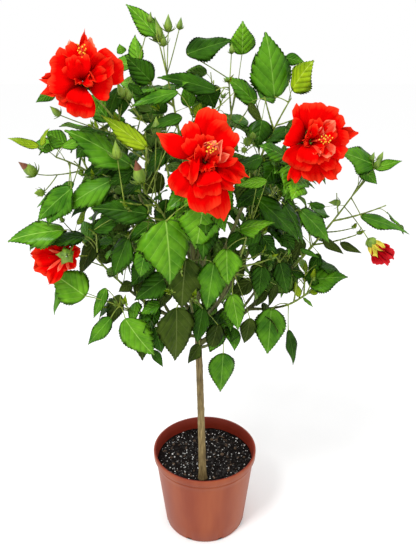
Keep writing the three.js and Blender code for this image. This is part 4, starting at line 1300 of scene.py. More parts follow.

# %% [markdown]
# Tones are dealt out by mass: all its leaves share a level, from how high and how far forward it
# stands, with some chance for each. That level paints light and shade into the greens: masses high
# up and toward the front, where the lamps are, get lighter tones, and masses low and at the back
# get darker ones. Leaves at a shoot's tip are young and yellow green, and the leaves between, which
# live in shade, are deep green, partly their own colour and partly painted shade.
#
# At the sides and the back the leaves between also hang lower. A blade that stands out flat is
# only a thin line from there, while hanging blades overlap like tiles and close the crown. A leaf
# placed one by one turns a little round its midrib, and is made wider for it.

# %% Deal out tones and shapes
TONE_ORDER = ["dusky", "deep", "mid", "bright", "young"]
TONE_SEED = 5000  # added to a mass's seed
# Painted light and shade: these numbers make the greens of masses low in the crown and at its back darker,
# those high up and in front lighter, and the finer leaves that fill the crown a step darker.
SHADE_LEVEL = 1.2  # place in the order of tones, low in the crown and at its back
LIGHT_GAIN, MOST_LIGHT = 0.75, 2  # what each step of light adds, and the most steps
SHADE_LINE, LIGHT_STEP = 640, 260  # millimetres, of height less depth
YOUNG_GAIN, CHANCE, FINE_SHADE_LOSS = 2.6, 1.3, 0.8
PLACED_WIDER = 1.14  # the fold takes a little of the width
PLACED_LONGER = 1.04  # the arch takes a little of the length
EDGE_ROOM = 0.004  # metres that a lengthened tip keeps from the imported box
MOST_LEAN = 0.5  # radians that a placed leaf may turn round its midrib
HANG = 0.6  # radians
FRONT_DEPTH = -40  # masses whose stems end nearer the camera than this keep their leaves up
box_low, box_high = (np.array(corner) for corner in packed_box)


def light_level(mass):
    """The tone of a mass as a place in the order. It is painted light and shade: lighter high up and toward
    the camera, darker low and at the back.
    """
    _, y, z = mass["tip"]
    steps = min(max((z - SHADE_LINE - y) / LIGHT_STEP, 0), MOST_LIGHT)
    return SHADE_LEVEL + steps * LIGHT_GAIN


def hang(leaf, angle):
    """Turns a leaf down about the end of its stalk."""
    direction, normal = leaf["direction"], leaf["normal"]
    leaf["direction"] = direction * math.cos(angle) - normal * math.sin(angle)
    leaf["normal"] = normal * math.cos(angle) + direction * math.sin(angle)


def lean_over(leaf, lean):
    """Turns a placed leaf round its midrib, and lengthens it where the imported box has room."""
    sideways = np.cross(leaf["direction"], leaf["normal"])
    leaf["normal"] = leaf["normal"] * math.cos(lean) + sideways * math.sin(lean)
    leaf["width"] = leaf["width"] * PLACED_WIDER / math.cos(lean)
    tip = (leaf["foot"] + leaf["direction"] * leaf["length"] * PLACED_LONGER) * MM
    if (tip > box_low + EDGE_ROOM).all() and (tip < box_high - EDGE_ROOM).all():
        leaf["length"] = leaf["length"] * PLACED_LONGER


def settle(leaf, level, hanging, draw):
    """Gives a leaf its tone and how it droops, folds, twists and ruffles."""
    young = leaf["young"]
    if hanging and leaf["fine"]:
        hang(leaf, HANG)
    score = level + YOUNG_GAIN * young**2 + CHANCE * (draw() - 0.5) - FINE_SHADE_LOSS * leaf["fine"]
    leaf["tone"] = leaf["tone"] or TONE_ORDER[int(min(max(score, 0), len(TONE_ORDER) - 1))]
    leaf["curl"] = (0.03 if leaf["placed"] else 0.08) + 0.14 * draw()
    leaf["fold"] = 0.08 + 0.38 * draw() + 0.3 * young
    leaf["twist"] = draw() - 0.5
    leaf["wave"] = 0.018 + 0.03 * draw()
    leaf["phase"] = draw() * TURN
    if leaf["placed"]:
        lean_over(leaf, MOST_LEAN * (2 * draw() - 1))
    return leaf


leaves = []
for mass in masses:
    draw = stream(mass["seed"] + TONE_SEED)
    level, hanging = light_level(mass), mass["tip"][1] > FRONT_DEPTH
    leaves += [settle(leaf, level, hanging, draw) for leaf in mass["leaves"]]

# %% Leaf pieces
SLOTS = {"young": "foliage_bright", "bright": "foliage_bright", "mid": "foliage_mid"}


def show_leaves(name, chosen, pattern, tone):
    """Leaves of one tone as one piece, with the underside's own finish."""
    mesh = write_mesh(name, bend_leaves(chosen, pattern), pattern["faces"], pattern["uv"])
    under = np.tile(pattern["under"], len(chosen)).astype(np.int32)
    mesh.polygons.foreach_set("material_index", under)
    show(name, mesh, leaf_finishes[tone], SLOTS.get(tone, "foliage_dark"), *MASS_NODES)
    mesh.materials.append(under_finish)


for tone in TONE_ORDER:
    of_tone = [leaf for leaf in leaves if leaf["tone"] == tone]
    print(len(of_tone), tone, "leaves")
    show_leaves("leaves_" + tone, [leaf for leaf in of_tone if not leaf["placed"]], plain_leaf, tone)
    show_leaves("edge_leaves_" + tone, [leaf for leaf in of_tone if leaf["placed"]], fine_leaf, tone)
print(len(leaves), "leaves")

# %% Leaf stalks
STALK_RADII = (1.1, 0.85)  # of a full leaf
FULL_LEAF = 80  # a leaf shorter than this has a thinner stalk


def leaf_stalk(leaf):
    """A stalk that rises from the shoot and bends over into the blade."""
    root, foot, direction, size = (leaf[key] for key in ("root", "foot", "direction", "length"))
    knee = root + (foot - root) * 0.55 + (UP * 0.08 - direction * 0.04) * size
    end = foot + direction * (0.02 * size)
    thick = min(1, size / FULL_LEAF)
    return (root, knee, end), STALK_RADII[0] * thick, STALK_RADII[1] * thick


stalks = [leaf_stalk(leaf) for leaf in leaves]
show_tubes("leaf_stalks", stalk_tube, stalks, stalk_finish, "foliage_mid", swelling[None, :, None])

# %% [markdown]
# ## Buds
#
# A hibiscus bud is a pointed green calyx with five low ribs, on a long thin stalk. A ring of
# narrow bracts stands round its foot and bends outward. The body is a sphere drawn out to a
# spindle, and each bract is a thin tube.

# %% Bud patterns
BUD_OUTLINE = ([0, 0.1, 0.26, 0.42, 0.62, 0.82, 1], [0.3, 0.75, 1.0, 0.96, 0.62, 0.28, 0.02])


def bud_pattern():
    """A ribbed spindle from z = 0 to z = 1."""
    bm = bmesh.new()
    bmesh.ops.create_uvsphere(bm, u_segments=10, v_segments=8, radius=1)
    for v in bm.verts:
        along = v.co.z * 0.5 + 0.5
        full = np.interp(along, *BUD_OUTLINE)
        angle = math.atan2(v.co.y, v.co.x)
        rib = 1 + 0.12 * math.cos(5 * angle)
        v.co = Vector((math.cos(angle) * full * rib, math.sin(angle) * full * rib, along))
    bmesh.ops.recalc_face_normals(bm, faces=bm.faces)
    return pattern_of(bm)


bud_corners, bud_faces = bud_pattern()
bract_tube = tube_pattern(4, 5)
bud_finish = green_finish("bud_green", srgb(74, 108, 14), srgb(124, 154, 38), 0.55)
bract_finish = green_finish("bract_green", srgb(66, 92, 14), srgb(112, 138, 36), 0.55)


def across_way(way):
    """Two directions that are square to way and to each other."""
    side = square_to(way, UP if abs(way[2]) < 0.9 else vec(1, 0, 0))
    return side, np.cross(way, side)


def place_bud(foot, way, size, fat):
    """Corners of one bud body from its foot along way. Fat is its radius as a share of its length."""
    side, other = across_way(way)
    x, y, z = (bud_corners[:, k][:, None] for k in range(3))
    return foot + way * z * size + (side * x + other * y) * size * fat


def bracts_of(foot, way, size, number, draw):
    """A ring of bracts round the foot of a bud or a calyx."""
    side, other = across_way(way)
    made = []
    for k in range(number):
        angle = TURN * (k + 0.3 * draw()) / number
        around = side * math.cos(angle) + other * math.sin(angle)
        reach_out = size * (0.34 + 0.2 * draw())
        start = foot + around * (size * 0.06)
        bend = foot + around * (reach_out * 0.8) + way * (size * 0.12)
        end = foot + around * reach_out + way * (size * (0.2 + 0.35 * draw()))
        made.append(((start, bend, end), 0.045 * size, 0.01 * size))
    return made


# %% [markdown]
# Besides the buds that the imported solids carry, a few more stand on the outer shoots, and many
# shoots end in a small tuft: two tiny buds between two leaves that are still folded. Two buds are
# about to open, so they are longer, and the dull red tip of the rolled petals shows at their end.

# %% Places of the buds
MORE_BUDS = {
    "leader": [((-80, -110, 1160), 40), ((-60, -110, 1170), 28), ((-90, -120, 1178), 18)],
    "front_left": [((-80, -180, 1005), 34), ((-140, -240, 975), 30)],
    "top_left": [((-135, -195, 1065), 26), ((-125, -190, 1060), 24)],
    "left_high": [((-285, -200, 895), 26)],
    "top_right": [((75, -170, 980), 28), ((85, -175, 990), 22), ((70, -170, 965), 20)],
    "right": [((320, -125, 935), 24), ((325, -120, 945), 20), ((310, -120, 945), 18)],
}
OPENING = (320, -195, 785)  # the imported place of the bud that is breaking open
OPENING_FOOT = vec(295, -195, 810)
OPENING_WAY = unit(vec(0.7, -0.1, -0.7))
SWOLLEN = {(-305, -185, 935): 38, (-105, -245, 940): 42}  # packed place and length, about to open
BUD_FAT = 0.27
OPENING_LENGTH, OPENING_FAT = 26, 0.42
BRACT_SIZE = 24  # of the opening bud's bracts and a flower's. Other buds go by their own length
TIP_START, TIP_LENGTH, TIP_FAT = 0.36, 0.66, 0.275  # of the petals in a swollen bud, in bud lengths
BRACTS = 8  # round one bud or flower
BUD_STALK = (1.1, 0.9)  # radii
BUD_SEED = 7000  # added to a mass's seed

bud_copies, bud_tips, bracts, bud_stalks, tuft_leaves = [], [], [], [], []

# %% Buds
def hang_bud(mass, shoots, centre, size, draw):
    """A bud with its bracts, on a stalk from the nearest place on the shoots."""
    swollen, opening = centre in SWOLLEN, centre == OPENING
    size = SWOLLEN.get(centre, size)
    centre = vec(*centre)
    if opening:
        root, foot, way = point(mass["stem"], 0.8), OPENING_FOOT, OPENING_WAY
        bud_copies.append(place_bud(foot, way, OPENING_LENGTH, OPENING_FAT))
        bracts.extend(bracts_of(foot, way, BRACT_SIZE, BRACTS, draw))
    else:
        places = [point(shoot, t) for shoot in shoots for t in (0.7, 0.8, 0.9)]
        root = min(places, key=lambda place: math.dist(place, centre - UP * 20))
        way = unit(unit(centre - root) + UP * 0.5)
        foot = centre - way * (size * 0.5)
        bud_copies.append(place_bud(foot, way, size, BUD_FAT))
        bracts.extend(bracts_of(foot, way, size, BRACTS, draw))
    if swollen:
        bud_tips.append(place_bud(foot + way * (size * TIP_START), way, size * TIP_LENGTH, TIP_FAT))
    bend = (root + foot) * 0.5 + UP * (6 if opening else -3)
    bud_stalks.append(((root, bend, foot + way), *BUD_STALK))


# %% Shoot tips
TUFT_SHARE = 0.45  # of the shoots
TUFT_BUDS, TUFT_LEAVES = 2, 2
TUFT_FAT = 0.24
TUFT_BRACTS = 6
TUFT_STALK = (0.7, 0.6)  # radii
FOLDED = {"width": 0.42, "curl": -0.05, "fold": 0.9, "twist": 0.0, "wave": 0.02}  # width as a share


def grow_tuft(shoot, draw):
    """Tiny buds and folded leaves at the tip of a shoot."""
    tip, way = shoot[2], heading(shoot, 1)
    for k in range(TUFT_BUDS):
        size = 7 + 5 * draw()
        lean = spread(way, draw() * TURN, math.radians(18 + 22 * draw()))
        foot = tip + lean * (3 + 6 * draw())
        bud_copies.append(place_bud(foot, lean, size, TUFT_FAT))
        bracts.extend(bracts_of(foot, lean, size * 1.2, TUFT_BRACTS, draw))
        bud_stalks.append(((tip - way * 2, tip + lean * 2, foot + lean), *TUFT_STALK))
    for k in range(TUFT_LEAVES):
        lean = spread(way, k * GOLDEN + draw() * 6, math.radians(20 + 26 * draw()))
        lean = unit(lean + UP * 0.1)
        size = 12 + 12 * draw()
        tuft_leaves.append({
            **FOLDED, "root": tip - way * 2, "foot": tip + lean * 3, "direction": lean,
            "normal": square_to(lean, way + UP * 0.3), "length": size,
            "width": size * FOLDED["width"], "phase": draw() * 6,
        })


for mass in masses:
    draw = stream(mass["seed"] + BUD_SEED)
    shoots = [mass["stem"], *mass["twigs"], *mass["fine_twigs"]]
    for centre, size in mass["buds"] + MORE_BUDS.get(mass["name"], []):
        hang_bud(mass, shoots, centre, size, draw)
    for shoot in shoots:
        if draw() <= TUFT_SHARE:
            grow_tuft(shoot, draw)

# %% Bud pieces
tip_finish = green_finish("bud_petal_tip", srgb(92, 40, 22), srgb(124, 74, 38), 0.6)
show_foliage("bud_bodies", np.array(bud_copies), bud_faces, bud_finish, "foliage_bright")
show_foliage("bud_tips", np.array(bud_tips), bud_faces, tip_finish, "foliage_bright")
show_tubes("bud_bracts", bract_tube, bracts, bract_finish, "foliage_bright")
show_tubes("bud_stalks", stalk_tube, bud_stalks, stalk_finish, "foliage_mid")
tuft_copies = bend_leaves(tuft_leaves, plain_leaf)
tuft_mesh = write_mesh("tuft_leaves", tuft_copies, plain_leaf["faces"], plain_leaf["uv"])
show("tuft_leaves", tuft_mesh, leaf_finishes["young"], "foliage_bright", *MASS_NODES)

# %% [markdown]
# ## Flowers
#
# The flowers are double: broad outer petals, smaller crumpled petals inside them, and a column
# with yellow anthers. No two petals are alike, so each flower has a list. Places on a flower are
# measured from its throat, as one sees it from in front: to the right, up, and forward. A petal's
# row gives its root, its tip, its width, and then how far its middle bows forward, how its rim
# rolls back, how its sides cup forward, how much it ruffles and how pointed it is.
#
# A petal is a grid. Its middle line is a curve from root to tip, its sides follow a rounded
# outline, and soft waves run out to the rim. A Solidify modifier gives it its thickness.

# %% Petal pattern
def sheet_pattern(across, along):
    """A flat grid: x from -1 to 1 across, y from 0 to 1 along."""
    bm = bmesh.new()
    bmesh.ops.create_grid(bm, x_segments=across, y_segments=along, size=0.5)
    for v in bm.verts:
        v.co = Vector((v.co.x * 2, v.co.y + 0.5, 0))
    return pattern_of(bm)


petal_corners, petal_faces = sheet_pattern(16, 16)
petal_uv = np.stack([petal_corners[:, 0] * 0.5 + 0.5, petal_corners[:, 1]], 1)
WIDEST = 0.62  # share of a petal's length where it is widest
RIM_START = 0.68  # share of its length from which its rim rolls back


def on_face(seat, place):
    """A place on a flower's face, given to the right, up and forward."""
    throat, facing = seat
    up = square_to(facing, UP if abs(facing[2]) < 0.95 else vec(0, 1, 0))
    right = np.cross(up, facing)
    return throat + right * place[0] + up * place[1] + facing * place[2]


def bend_petal(seat, root, tip, width, bow, roll, cup, ruffle, pointed, draw):
    """Corners of one petal."""
    facing = seat[1]
    start, end = on_face(seat, root), on_face(seat, tip)
    middle = start + (end - start) * 0.45 + facing * bow
    chord = end - start
    side = unit(np.cross(facing, chord - facing * (chord @ facing)))
    t, s = petal_corners[:, 0], petal_corners[:, 1]
    first, second, third = (draw() * 6.3 for _ in range(3))
    ragged = 0.035 * np.sin(2.6 * t + first) + 0.025 * np.sin(7.5 * t + second)
    s = s * (1 - 0.2 * t * t + ragged * s)
    half = width / 2 * (0.2 + 0.8 * np.sin(math.pi / 2 * np.minimum(1, s / WIDEST)) ** 1.3)
    half = half * np.sqrt(1 - (np.maximum(0, s - WIDEST) / (1.04 - WIDEST)) ** 2.4)
    half = half * (1 - pointed * s**3)
    line = start * ((1 - s) ** 2)[:, None] + middle * (2 * s * (1 - s))[:, None] + end * (s * s)[:, None]
    tangent = rows_unit((middle - start) * (1 - s)[:, None] + (end - middle) * s[:, None])
    front = np.cross(side, tangent)
    front = front * np.sign((front * facing).sum(-1) + 1e-9)[:, None]
    rim = np.maximum(0, s - RIM_START) / (1 - RIM_START)
    wave = np.sin(TURN * 0.8 * t + first) + 0.6 * np.sin(TURN * (1.5 * t + 0.3 * s) + second)
    wave = wave * s**1.6 + 0.35 * np.sin(9 * s + 3 * t + third) * np.abs(t)
    height = width * (1.25 * ruffle * wave + cup * t * t * s - roll * rim**2)
    return line + side * (t * half)[:, None] + front * height[:, None]


# %% [markdown]
# The four flowers. The one on the left is seen from behind and opens away to the back.

# %% Flower table
FLOWERS = {  # a petal is (root, tip, width, bow, roll, cup, ruffle, point)
    "front": {
        "throat": (0, -295, 965), "facing": (0.02, -0.985, 0.17), "column": ((3, 0, 8), (13, 22, 46)),
        "petals": [
            ((2, 12, 0), (18, 83, -8), 48, 12, 0.15, 0.1, 0.03, 0),
            ((9, 12, 2), (43, 54, 8), 50, 16, 0.1, 0.15, 0.06, 0),
            ((-6, 12, 2), (-24, 60, 0), 28, 10, 0.1, 0.1, 0.05, 0),
            ((-8, 3, 2), (-72, 43, 2), 38, 14, 0.1, -0.3, 0.04, 0.75),
            ((-9, -4, 2), (-44, -54, 6), 47, 24, 0.2, 0.1, 0.04, 0),
            ((8, -10, 0), (30, -92, -6), 42, 14, 0.05, 0.1, 0.04, 0.15),
            ((-6, -14, 2), (6, -80, 10), 50, 28, 0.1, 0.15, 0.04, 0),
            ((4, -8, 4), (12, -42, 32), 38, 36, 0.5, -0.1, 0.03, 0),
            ((2, -10, 4), (9, -59, 20), 42, 32, 0.25, 0.1, 0.04, 0),
            ((18, -2, 2), (66, -24, 4), 38, 20, 0, 0.2, 0.14, 0.5),
            ((14, -6, 2), (49, -42, 8), 30, 18, 0.1, 0.2, 0.15, 0.2),
            ((-10, 0, 4), (-34, -24, 24), 26, 28, 0.4, 0.2, 0.06, 0),
            ((-8, 18, 4), (-17, -35, 28), 14, 30, 0.1, 0.8, 0.05, 0.2),
            ((-4, 4, 4), (-22, 36, 18), 32, 24, 0.2, 0.2, 0.1, 0),
            ((8, 0, 4), (50, 10, 12), 30, 20, 0.1, 0.3, 0.12, 0),
            ((6, 10, 4), (4, 40, 20), 26, 14, 0.1, 0.2, 0.12, 0),
        ],
        "pale": [((14, 0, 10), (39, 9, 26), 15, 8, 0, 0.2, 0.05, 0.2)],
        "inner": 9, "inner_size": (18, 34), "seed": 3,
    },
    "top_left": {
        "throat": (-185, -245, 1080), "facing": (0.15, -0.98, 0.12), "column": ((0, 6, 4), (3, 46, 24)),
        "petals": [
            ((10, 4, 0), (66, 31, 0), 56, 18, 0.2, -0.1, 0.04, 0),
            ((8, -4, 0), (46, -13, 6), 42, 16, 0.1, 0.1, 0.04, 0),
            ((0, -8, 0), (-8, -60, 2), 44, 14, 0.3, 0.1, 0.03, 0),
            ((0, -8, 2), (-9, -43, 12), 40, 20, 0.55, 0.1, 0.03, 0),
            ((-6, -8, 0), (-41, -33, 0), 32, 12, 0.1, 0.1, 0.04, 0),
            ((-6, 2, 0), (-52, 10, 8), 56, 24, 0.1, 0.1, 0.05, 0),
            ((-6, -4, 0), (-46, -20, 4), 36, 16, 0.1, 0.1, 0.06, 0),
            ((-10, 0, -2), (-65, 4, -8), 24, 8, 0, 0.2, 0.1, 0.6),
            ((-10, -2, -2), (-63, -17, -8), 24, 8, 0, 0.2, 0.1, 0.3),
            ((-4, 8, 0), (-26, 52, 0), 36, 16, 0.1, 0.2, 0.08, 0),
            ((-4, 6, 0), (-41, 32, 0), 28, 14, 0.1, 0.2, 0.1, 0),
            ((2, 16, 0), (8, 74, -4), 18, 6, 0, 0.4, 0.05, 0.97),
            ((0, 10, 0), (2, 57, -4), 32, 10, 0, 0.2, 0.1, 0),
            ((6, 6, 2), (15, 55, 12), 26, 14, 0.1, 0.3, 0.05, 0),
            ((10, 2, 2), (46, 32, 14), 38, 18, 0.1, 0.2, 0.13, 0),
            ((8, 0, 4), (39, 12, 20), 22, 16, 0.3, 0.2, 0.12, 0),
            ((0, 0, 4), (-5, 39, 24), 36, 24, 0.3, 0.15, 0.06, 0),
            ((-2, 0, 4), (-19, 26, 24), 30, 24, 0.2, 0.15, 0.1, 0),
        ],
        "pale": [
            ((-4, 16, -2), (-16, 59, -8), 22, 6, 0, 0.1, 0.04, 0),
            ((6, 16, -2), (17, 64, -8), 16, 6, 0, 0.1, 0.04, 0),
        ],
        "inner": 6, "inner_size": (16, 30), "seed": 5,
    },
    "right_high": {
        "throat": (170, -220, 985), "facing": (0, -0.985, 0.17), "column": ((6, 0, 6), (26, 3, 44)),
        "petals": [
            ((4, 12, 0), (14, 66, -2), 48, 16, 0.12, 0.1, 0.03, 0),
            ((-2, 12, 0), (-16, 60, -4), 28, 10, 0, 0.2, 0.07, 0),
            ((16, 10, 0), (52, 50, 4), 42, 18, 0.1, 0.15, 0.05, 0),
            ((18, 0, 0), (70, -8, 6), 47, 18, 0.1, 0.1, 0.05, 0),
            ((20, 6, -2), (84, 15, -6), 24, 8, 0, 0.5, 0.08, 0.3),
            ((-4, 4, 0), (-39, 20, 0), 47, 20, 0.5, 0.1, 0.04, 0),
            ((-4, -4, 0), (-24, -47, 6), 50, 24, 0.2, 0.15, 0.03, 0),
            ((0, -2, 4), (-5, -40, 20), 35, 28, 0.3, 0.2, 0.03, 0),
            ((-4, -20, -2), (-26, -71, -6), 24, 8, 0, 0.2, 0.06, 0.2),
            ((6, -10, 0), (21, -67, -4), 50, 10, 0, 0.1, 0.08, 0.1),
            ((14, -12, 0), (53, -60, 0), 32, 10, 0, 0.2, 0.1, 0),
            ((12, -8, 0), (53, -42, 6), 38, 16, 0.15, 0.1, 0.06, 0),
            ((6, 4, 4), (10, 36, 24), 24, 20, 0.2, 0.3, 0.1, 0),
            ((2, 2, 4), (5, 26, 30), 16, 20, 0, 0.5, 0.06, 0),
            ((14, 2, 4), (42, 20, 18), 28, 18, 0.1, 0.2, 0.12, 0),
            ((10, -4, 4), (30, -34, 18), 30, 20, 0.1, 0.2, 0.1, 0),
        ],
        "pale": [
            ((16, 8, 10), (40, 31, 24), 22, 8, 0.2, 0.2, 0.12, 0),
            ((18, -6, 10), (40, -22, 26), 24, 8, 0.2, 0.2, 0.1, 0),
            ((8, -6, 12), (16, -24, 26), 14, 6, 0, 0.2, 0.08, 0),
            ((6, 10, 10), (14, 26, 24), 12, 6, 0, 0.2, 0.08, 0),
        ],
        "inner": 7, "inner_size": (16, 28), "seed": 8,
    },
    "left": {
        "throat": (-248, -200, 780), "facing": (-0.5, 0.8, -0.3), "column": ((0, 0, 6), (0, 0, 24)),
        "petals": [
            ((4, 2, 3), (52, 14, 26), 46, 14, -0.1, 0.15, 0.1, 0),
            ((4, -2, 3), (52, -18, 30), 40, 14, -0.1, 0.15, 0.1, 0),
            ((3, -4, 3), (32, -46, 22), 28, 10, -0.1, 0.15, 0.1, 0),
            ((1, 4, 3), (4, 28, 14), 34, 8, -0.1, 0.15, 0.08, 0),
            ((-3, 1, 3), (-32, 6, 10), 24, 8, -0.1, 0.15, 0.06, 0),
            ((-2, -3, 3), (-17, -25, 12), 24, 8, -0.1, 0.15, 0.08, 0),
            ((1, -4, 3), (8, -28, 16), 32, 8, -0.1, 0.15, 0.08, 0),
            ((4, 0, 4), (38, 0, 36), 42, 14, -0.1, 0.15, 0.12, 0),
        ],
        "pale": [
            ((2, 3, 0), (26, 16, 12), 5, 2, 0, 0, 0.02, 0.5),
            ((3, -1, 0), (34, -20, 16), 6, 2, 0, 0, 0.02, 0.5),
            ((2, -3, 0), (18, -26, 10), 8, 2, 0, 0, 0.02, 0.5),
            ((0, -4, 0), (-2, -27, 8), 6, 2, 0, 0, 0.02, 0.5),
        ],
        "inner": 4, "inner_size": (16, 24), "seed": 13,
    },
}

# %% Grow the flowers
FLOWER_SEED = 300
INNER_BOW, INNER_SHAPE = (4,), (0.3, 0.16, 0)  # of the inner petals: bow; cup, ruffle and point
STAMENS = 18
STAMENS_FROM = 0.6  # share of the column
COLUMN_RADII, STAMEN_RADII, FLOWER_STALK = (2.2, 1.2), (0.35, 0.25), (1.6, 2.0)
petals, pale_petals, filaments, anthers, flower_stalks = [], [], [], [], []


def grow_inner_petals(seat, row, draw):
    """Small crumpled petals round the foot of the column. One in five is pale."""
    small, large = row["inner_size"]
    for k in range(row["inner"]):
        angle = k * GOLDEN + draw()
        size = small + (large - small) * draw()
        lean = 0.5 + 0.5 * draw()
        out = (math.cos(angle), math.sin(angle))
        root = vec(*row["column"][0]) + vec(out[0] * 3, out[1] * 3, 0)
        tip = root + vec(out[0] * size * lean, out[1] * size * lean, size * 0.9)
        width, roll = size * (0.7 + 0.4 * draw()), 0.3 * draw()
        shape = bend_petal(seat, root, tip, width, *INNER_BOW, roll, *INNER_SHAPE, draw)
        (pale_petals if k % 5 == 3 else petals).append(shape)


def grow_column(foot, end, draw):
    """The column, with stamens round its outer part and an anther on each."""
    way = unit(end - foot)
    filaments.append(((foot, (foot + end) / 2, end), *COLUMN_RADII))
    for k in range(STAMENS):
        t = STAMENS_FROM + (1 - STAMENS_FROM) * (k + draw()) / STAMENS
        start = foot + (end - foot) * t
        lean = spread(way, k * GOLDEN, math.radians(45 + 35 * draw()))
        knob = start + lean * (3.5 + 4.5 * draw())
        filaments.append(((start, start + lean * 2, knob), *STAMEN_RADII))
        anthers.append((knob, 1.1 + 0.5 * draw()))


def grow_flower(mass, row):
    """A whole flower. Returns its seat: where its throat is and which way it faces."""
    draw = stream(row["seed"] + FLOWER_SEED)
    seat = (vec(*row["throat"]), unit(vec(*row["facing"])))
    for petal in row["petals"]:
        petals.append(bend_petal(seat, *petal, draw))
    for petal in row["pale"]:
        pale_petals.append(bend_petal(seat, *petal, draw))
    grow_inner_petals(seat, row, draw)
    grow_column(*(on_face(seat, place) for place in row["column"]), draw)
    stem_end = point(mass["stem"], 0.97)
    back = seat[0] - seat[1] * 12
    bend = stem_end * 0.4 + back * 0.6 - seat[1] * 8
    flower_stalks.append(((stem_end, bend, back), *FLOWER_STALK))
    return seat


flower_seats = {}
for mass in masses:
    if mass["name"] in FLOWERS:
        flower_seats[mass["name"]] = grow_flower(mass, FLOWERS[mass["name"]])
print(len(petals), "petals and", len(pale_petals), "pale ones")

# %% [markdown]
# Behind each flower sits the calyx: five pointed green lobes on the flower's stalk, with a ring
# of bracts. The bud that is breaking open has yellow lobes round a dark red crumpled roll.

# %% Calyxes and the opening bud
LOBES = 5
ROLLED_PETALS = 7
CALYX_SEED, OPENING_SEED = 900, 77
calyx, flower_bracts, opening_sepals, rolled_petals = [], [], [], []


def ring(angle, radius, forward):
    return (math.cos(angle) * radius, math.sin(angle) * radius, forward)


for name, seat in flower_seats.items():
    draw = stream(FLOWERS[name]["seed"] + CALYX_SEED)
    back = (seat[0] - seat[1] * 13, seat[1])
    for k in range(LOBES):
        angle = TURN * k / LOBES + 0.3
        lobe = (ring(angle, 3, 0), ring(angle, 17, 17), 15, -3, 0.1, 0.2, 0.02, 0.8)
        calyx.append(bend_petal(back, *lobe, draw))
    flower_bracts += bracts_of(back[0] + seat[1], seat[1], BRACT_SIZE, BRACTS, draw)

draw = stream(OPENING_SEED)
opening_seat = (OPENING_FOOT, OPENING_WAY)
for k in range(LOBES):
    angle = TURN * k / LOBES
    sepal = (ring(angle, 5, 3), ring(angle, 12, 34), 21, 0, 0.05, -0.25, 0.02, 0.7)
    opening_sepals.append(bend_petal(opening_seat, *sepal, draw))
for k in range(ROLLED_PETALS):
    angle = k * GOLDEN
    tip = ring(angle, 7 + 9 * draw(), 48 + 10 * draw())
    rolled_petals.append(bend_petal(opening_seat, ring(angle, 2, 6), tip, 25, 0, 0, -0.3, 0.16, 0.3, draw))
print(len(calyx), "calyx lobes,", len(rolled_petals), "rolled petals")

# %% [markdown]
# A petal is deepest red in the throat and turns a little orange toward its rim, with fine streaks
# that run out along it. Its own map drives both. The dark throat is partly the petal's own red and
# partly painted shade, and the lighter rim partly a painted highlight. Petals are matt and soft,
# so the shader has hardly any gloss.

# %% Flower finishes
def petal_finish(name, throat, middle, rim):
    """Matt red, from the throat out to the rim, with streaks along the petal. The dark throat is partly
    painted shade and the lighter rim partly a painted highlight.
    """
    material, shader = new_finish(name, middle, 0.75, Specular_IOR_Level=0.02)
    place, _, place_along = own_map(material)
    mapped = add_node(material, "ShaderNodeMapping", Vector=place, Scale=(16, 1.6, 1)).outputs["Vector"]
    made = add_node(material, "ShaderNodeTexNoise", Vector=mapped, Scale=1.0, Detail=3.0)
    streaks = made.outputs["Fac"]
    settings = {"operation": "MULTIPLY_ADD"}
    shift = add_node(material, "ShaderNodeMath", settings, _0=streaks, _1=0.3, _2=-0.15)
    along = add_node(material, "ShaderNodeMath", _0=place_along, _1=shift.outputs[0])
    # The throat stop is partly painted shade and the rim stop partly a painted highlight, over the petal's
    # own red.
    stops = [(0.02, throat), (0.42, middle), (0.74, middle), (1.02, rim)]
    feed(material, shader.inputs["Base Color"], ramp(material, along.outputs[0], stops))
    bumped(material, shader, streaks, 0.4, 0.0014)
    return material


def speckled_finish(name, colour, roughness, gloss, scale, low, high):
    material, shader = new_finish(name, colour, roughness, Specular_IOR_Level=gloss)
    two_tone(material, shader, blotches(material, scale, 2), low, high)
    return material


red_petal = petal_finish("red_petal", srgb(104, 0, 0), srgb(212, 0, 0), srgb(234, 54, 26))
pale_petal = petal_finish("pale_petal", srgb(208, 36, 18), srgb(226, 66, 44), srgb(240, 132, 100))
dark_petal = petal_finish("rolled_petal", srgb(110, 6, 10), srgb(160, 8, 18), srgb(206, 40, 48))
yellow_sepal = green_finish("yellow_sepal", srgb(166, 160, 30), srgb(222, 204, 60), 0.6)
column_finish = speckled_finish(
    "flower_column", srgb(226, 50, 30), 0.7, 0.15, 300, srgb(212, 20, 12), srgb(236, 96, 60)
)
anther_finish = speckled_finish(
    "anther_yellow", srgb(240, 180, 30), 0.8, 0.2, 600, srgb(228, 140, 20), srgb(248, 214, 70)
)

# %% Flower pieces
PETAL_WALL, LOBE_WALL = 0.5, 0.7


def show_sheets(name, sheets, material, slot, thickness):
    """Petals or lobes as one piece, with a wall."""
    mesh = write_mesh(name, np.array(sheets), petal_faces, petal_uv)
    piece = show(name, mesh, material, slot, *MASS_NODES)
    wall = piece.modifiers.new("thickness", "SOLIDIFY")
    wall.thickness = thickness * MM
    wall.offset = 0


show_sheets("petals", petals, red_petal, "foliage_bright", PETAL_WALL)
show_sheets("pale_petals", pale_petals, pale_petal, "foliage_bright", PETAL_WALL)
show_sheets("rolled_petals", rolled_petals, dark_petal, "foliage_bright", PETAL_WALL)
show_sheets("calyx_lobes", calyx, bud_finish, "foliage_mid", LOBE_WALL)
show_sheets("opening_sepals", opening_sepals, yellow_sepal, "foliage_bright", LOBE_WALL)
show_tubes("flower_bracts", bract_tube, flower_bracts, bract_finish, "foliage_mid")
show_tubes("flower_stalks", shoot_tube, flower_stalks, stalk_finish, "foliage_mid")
show_tubes("flower_columns", stalk_tube, filaments, column_finish, "foliage_bright")

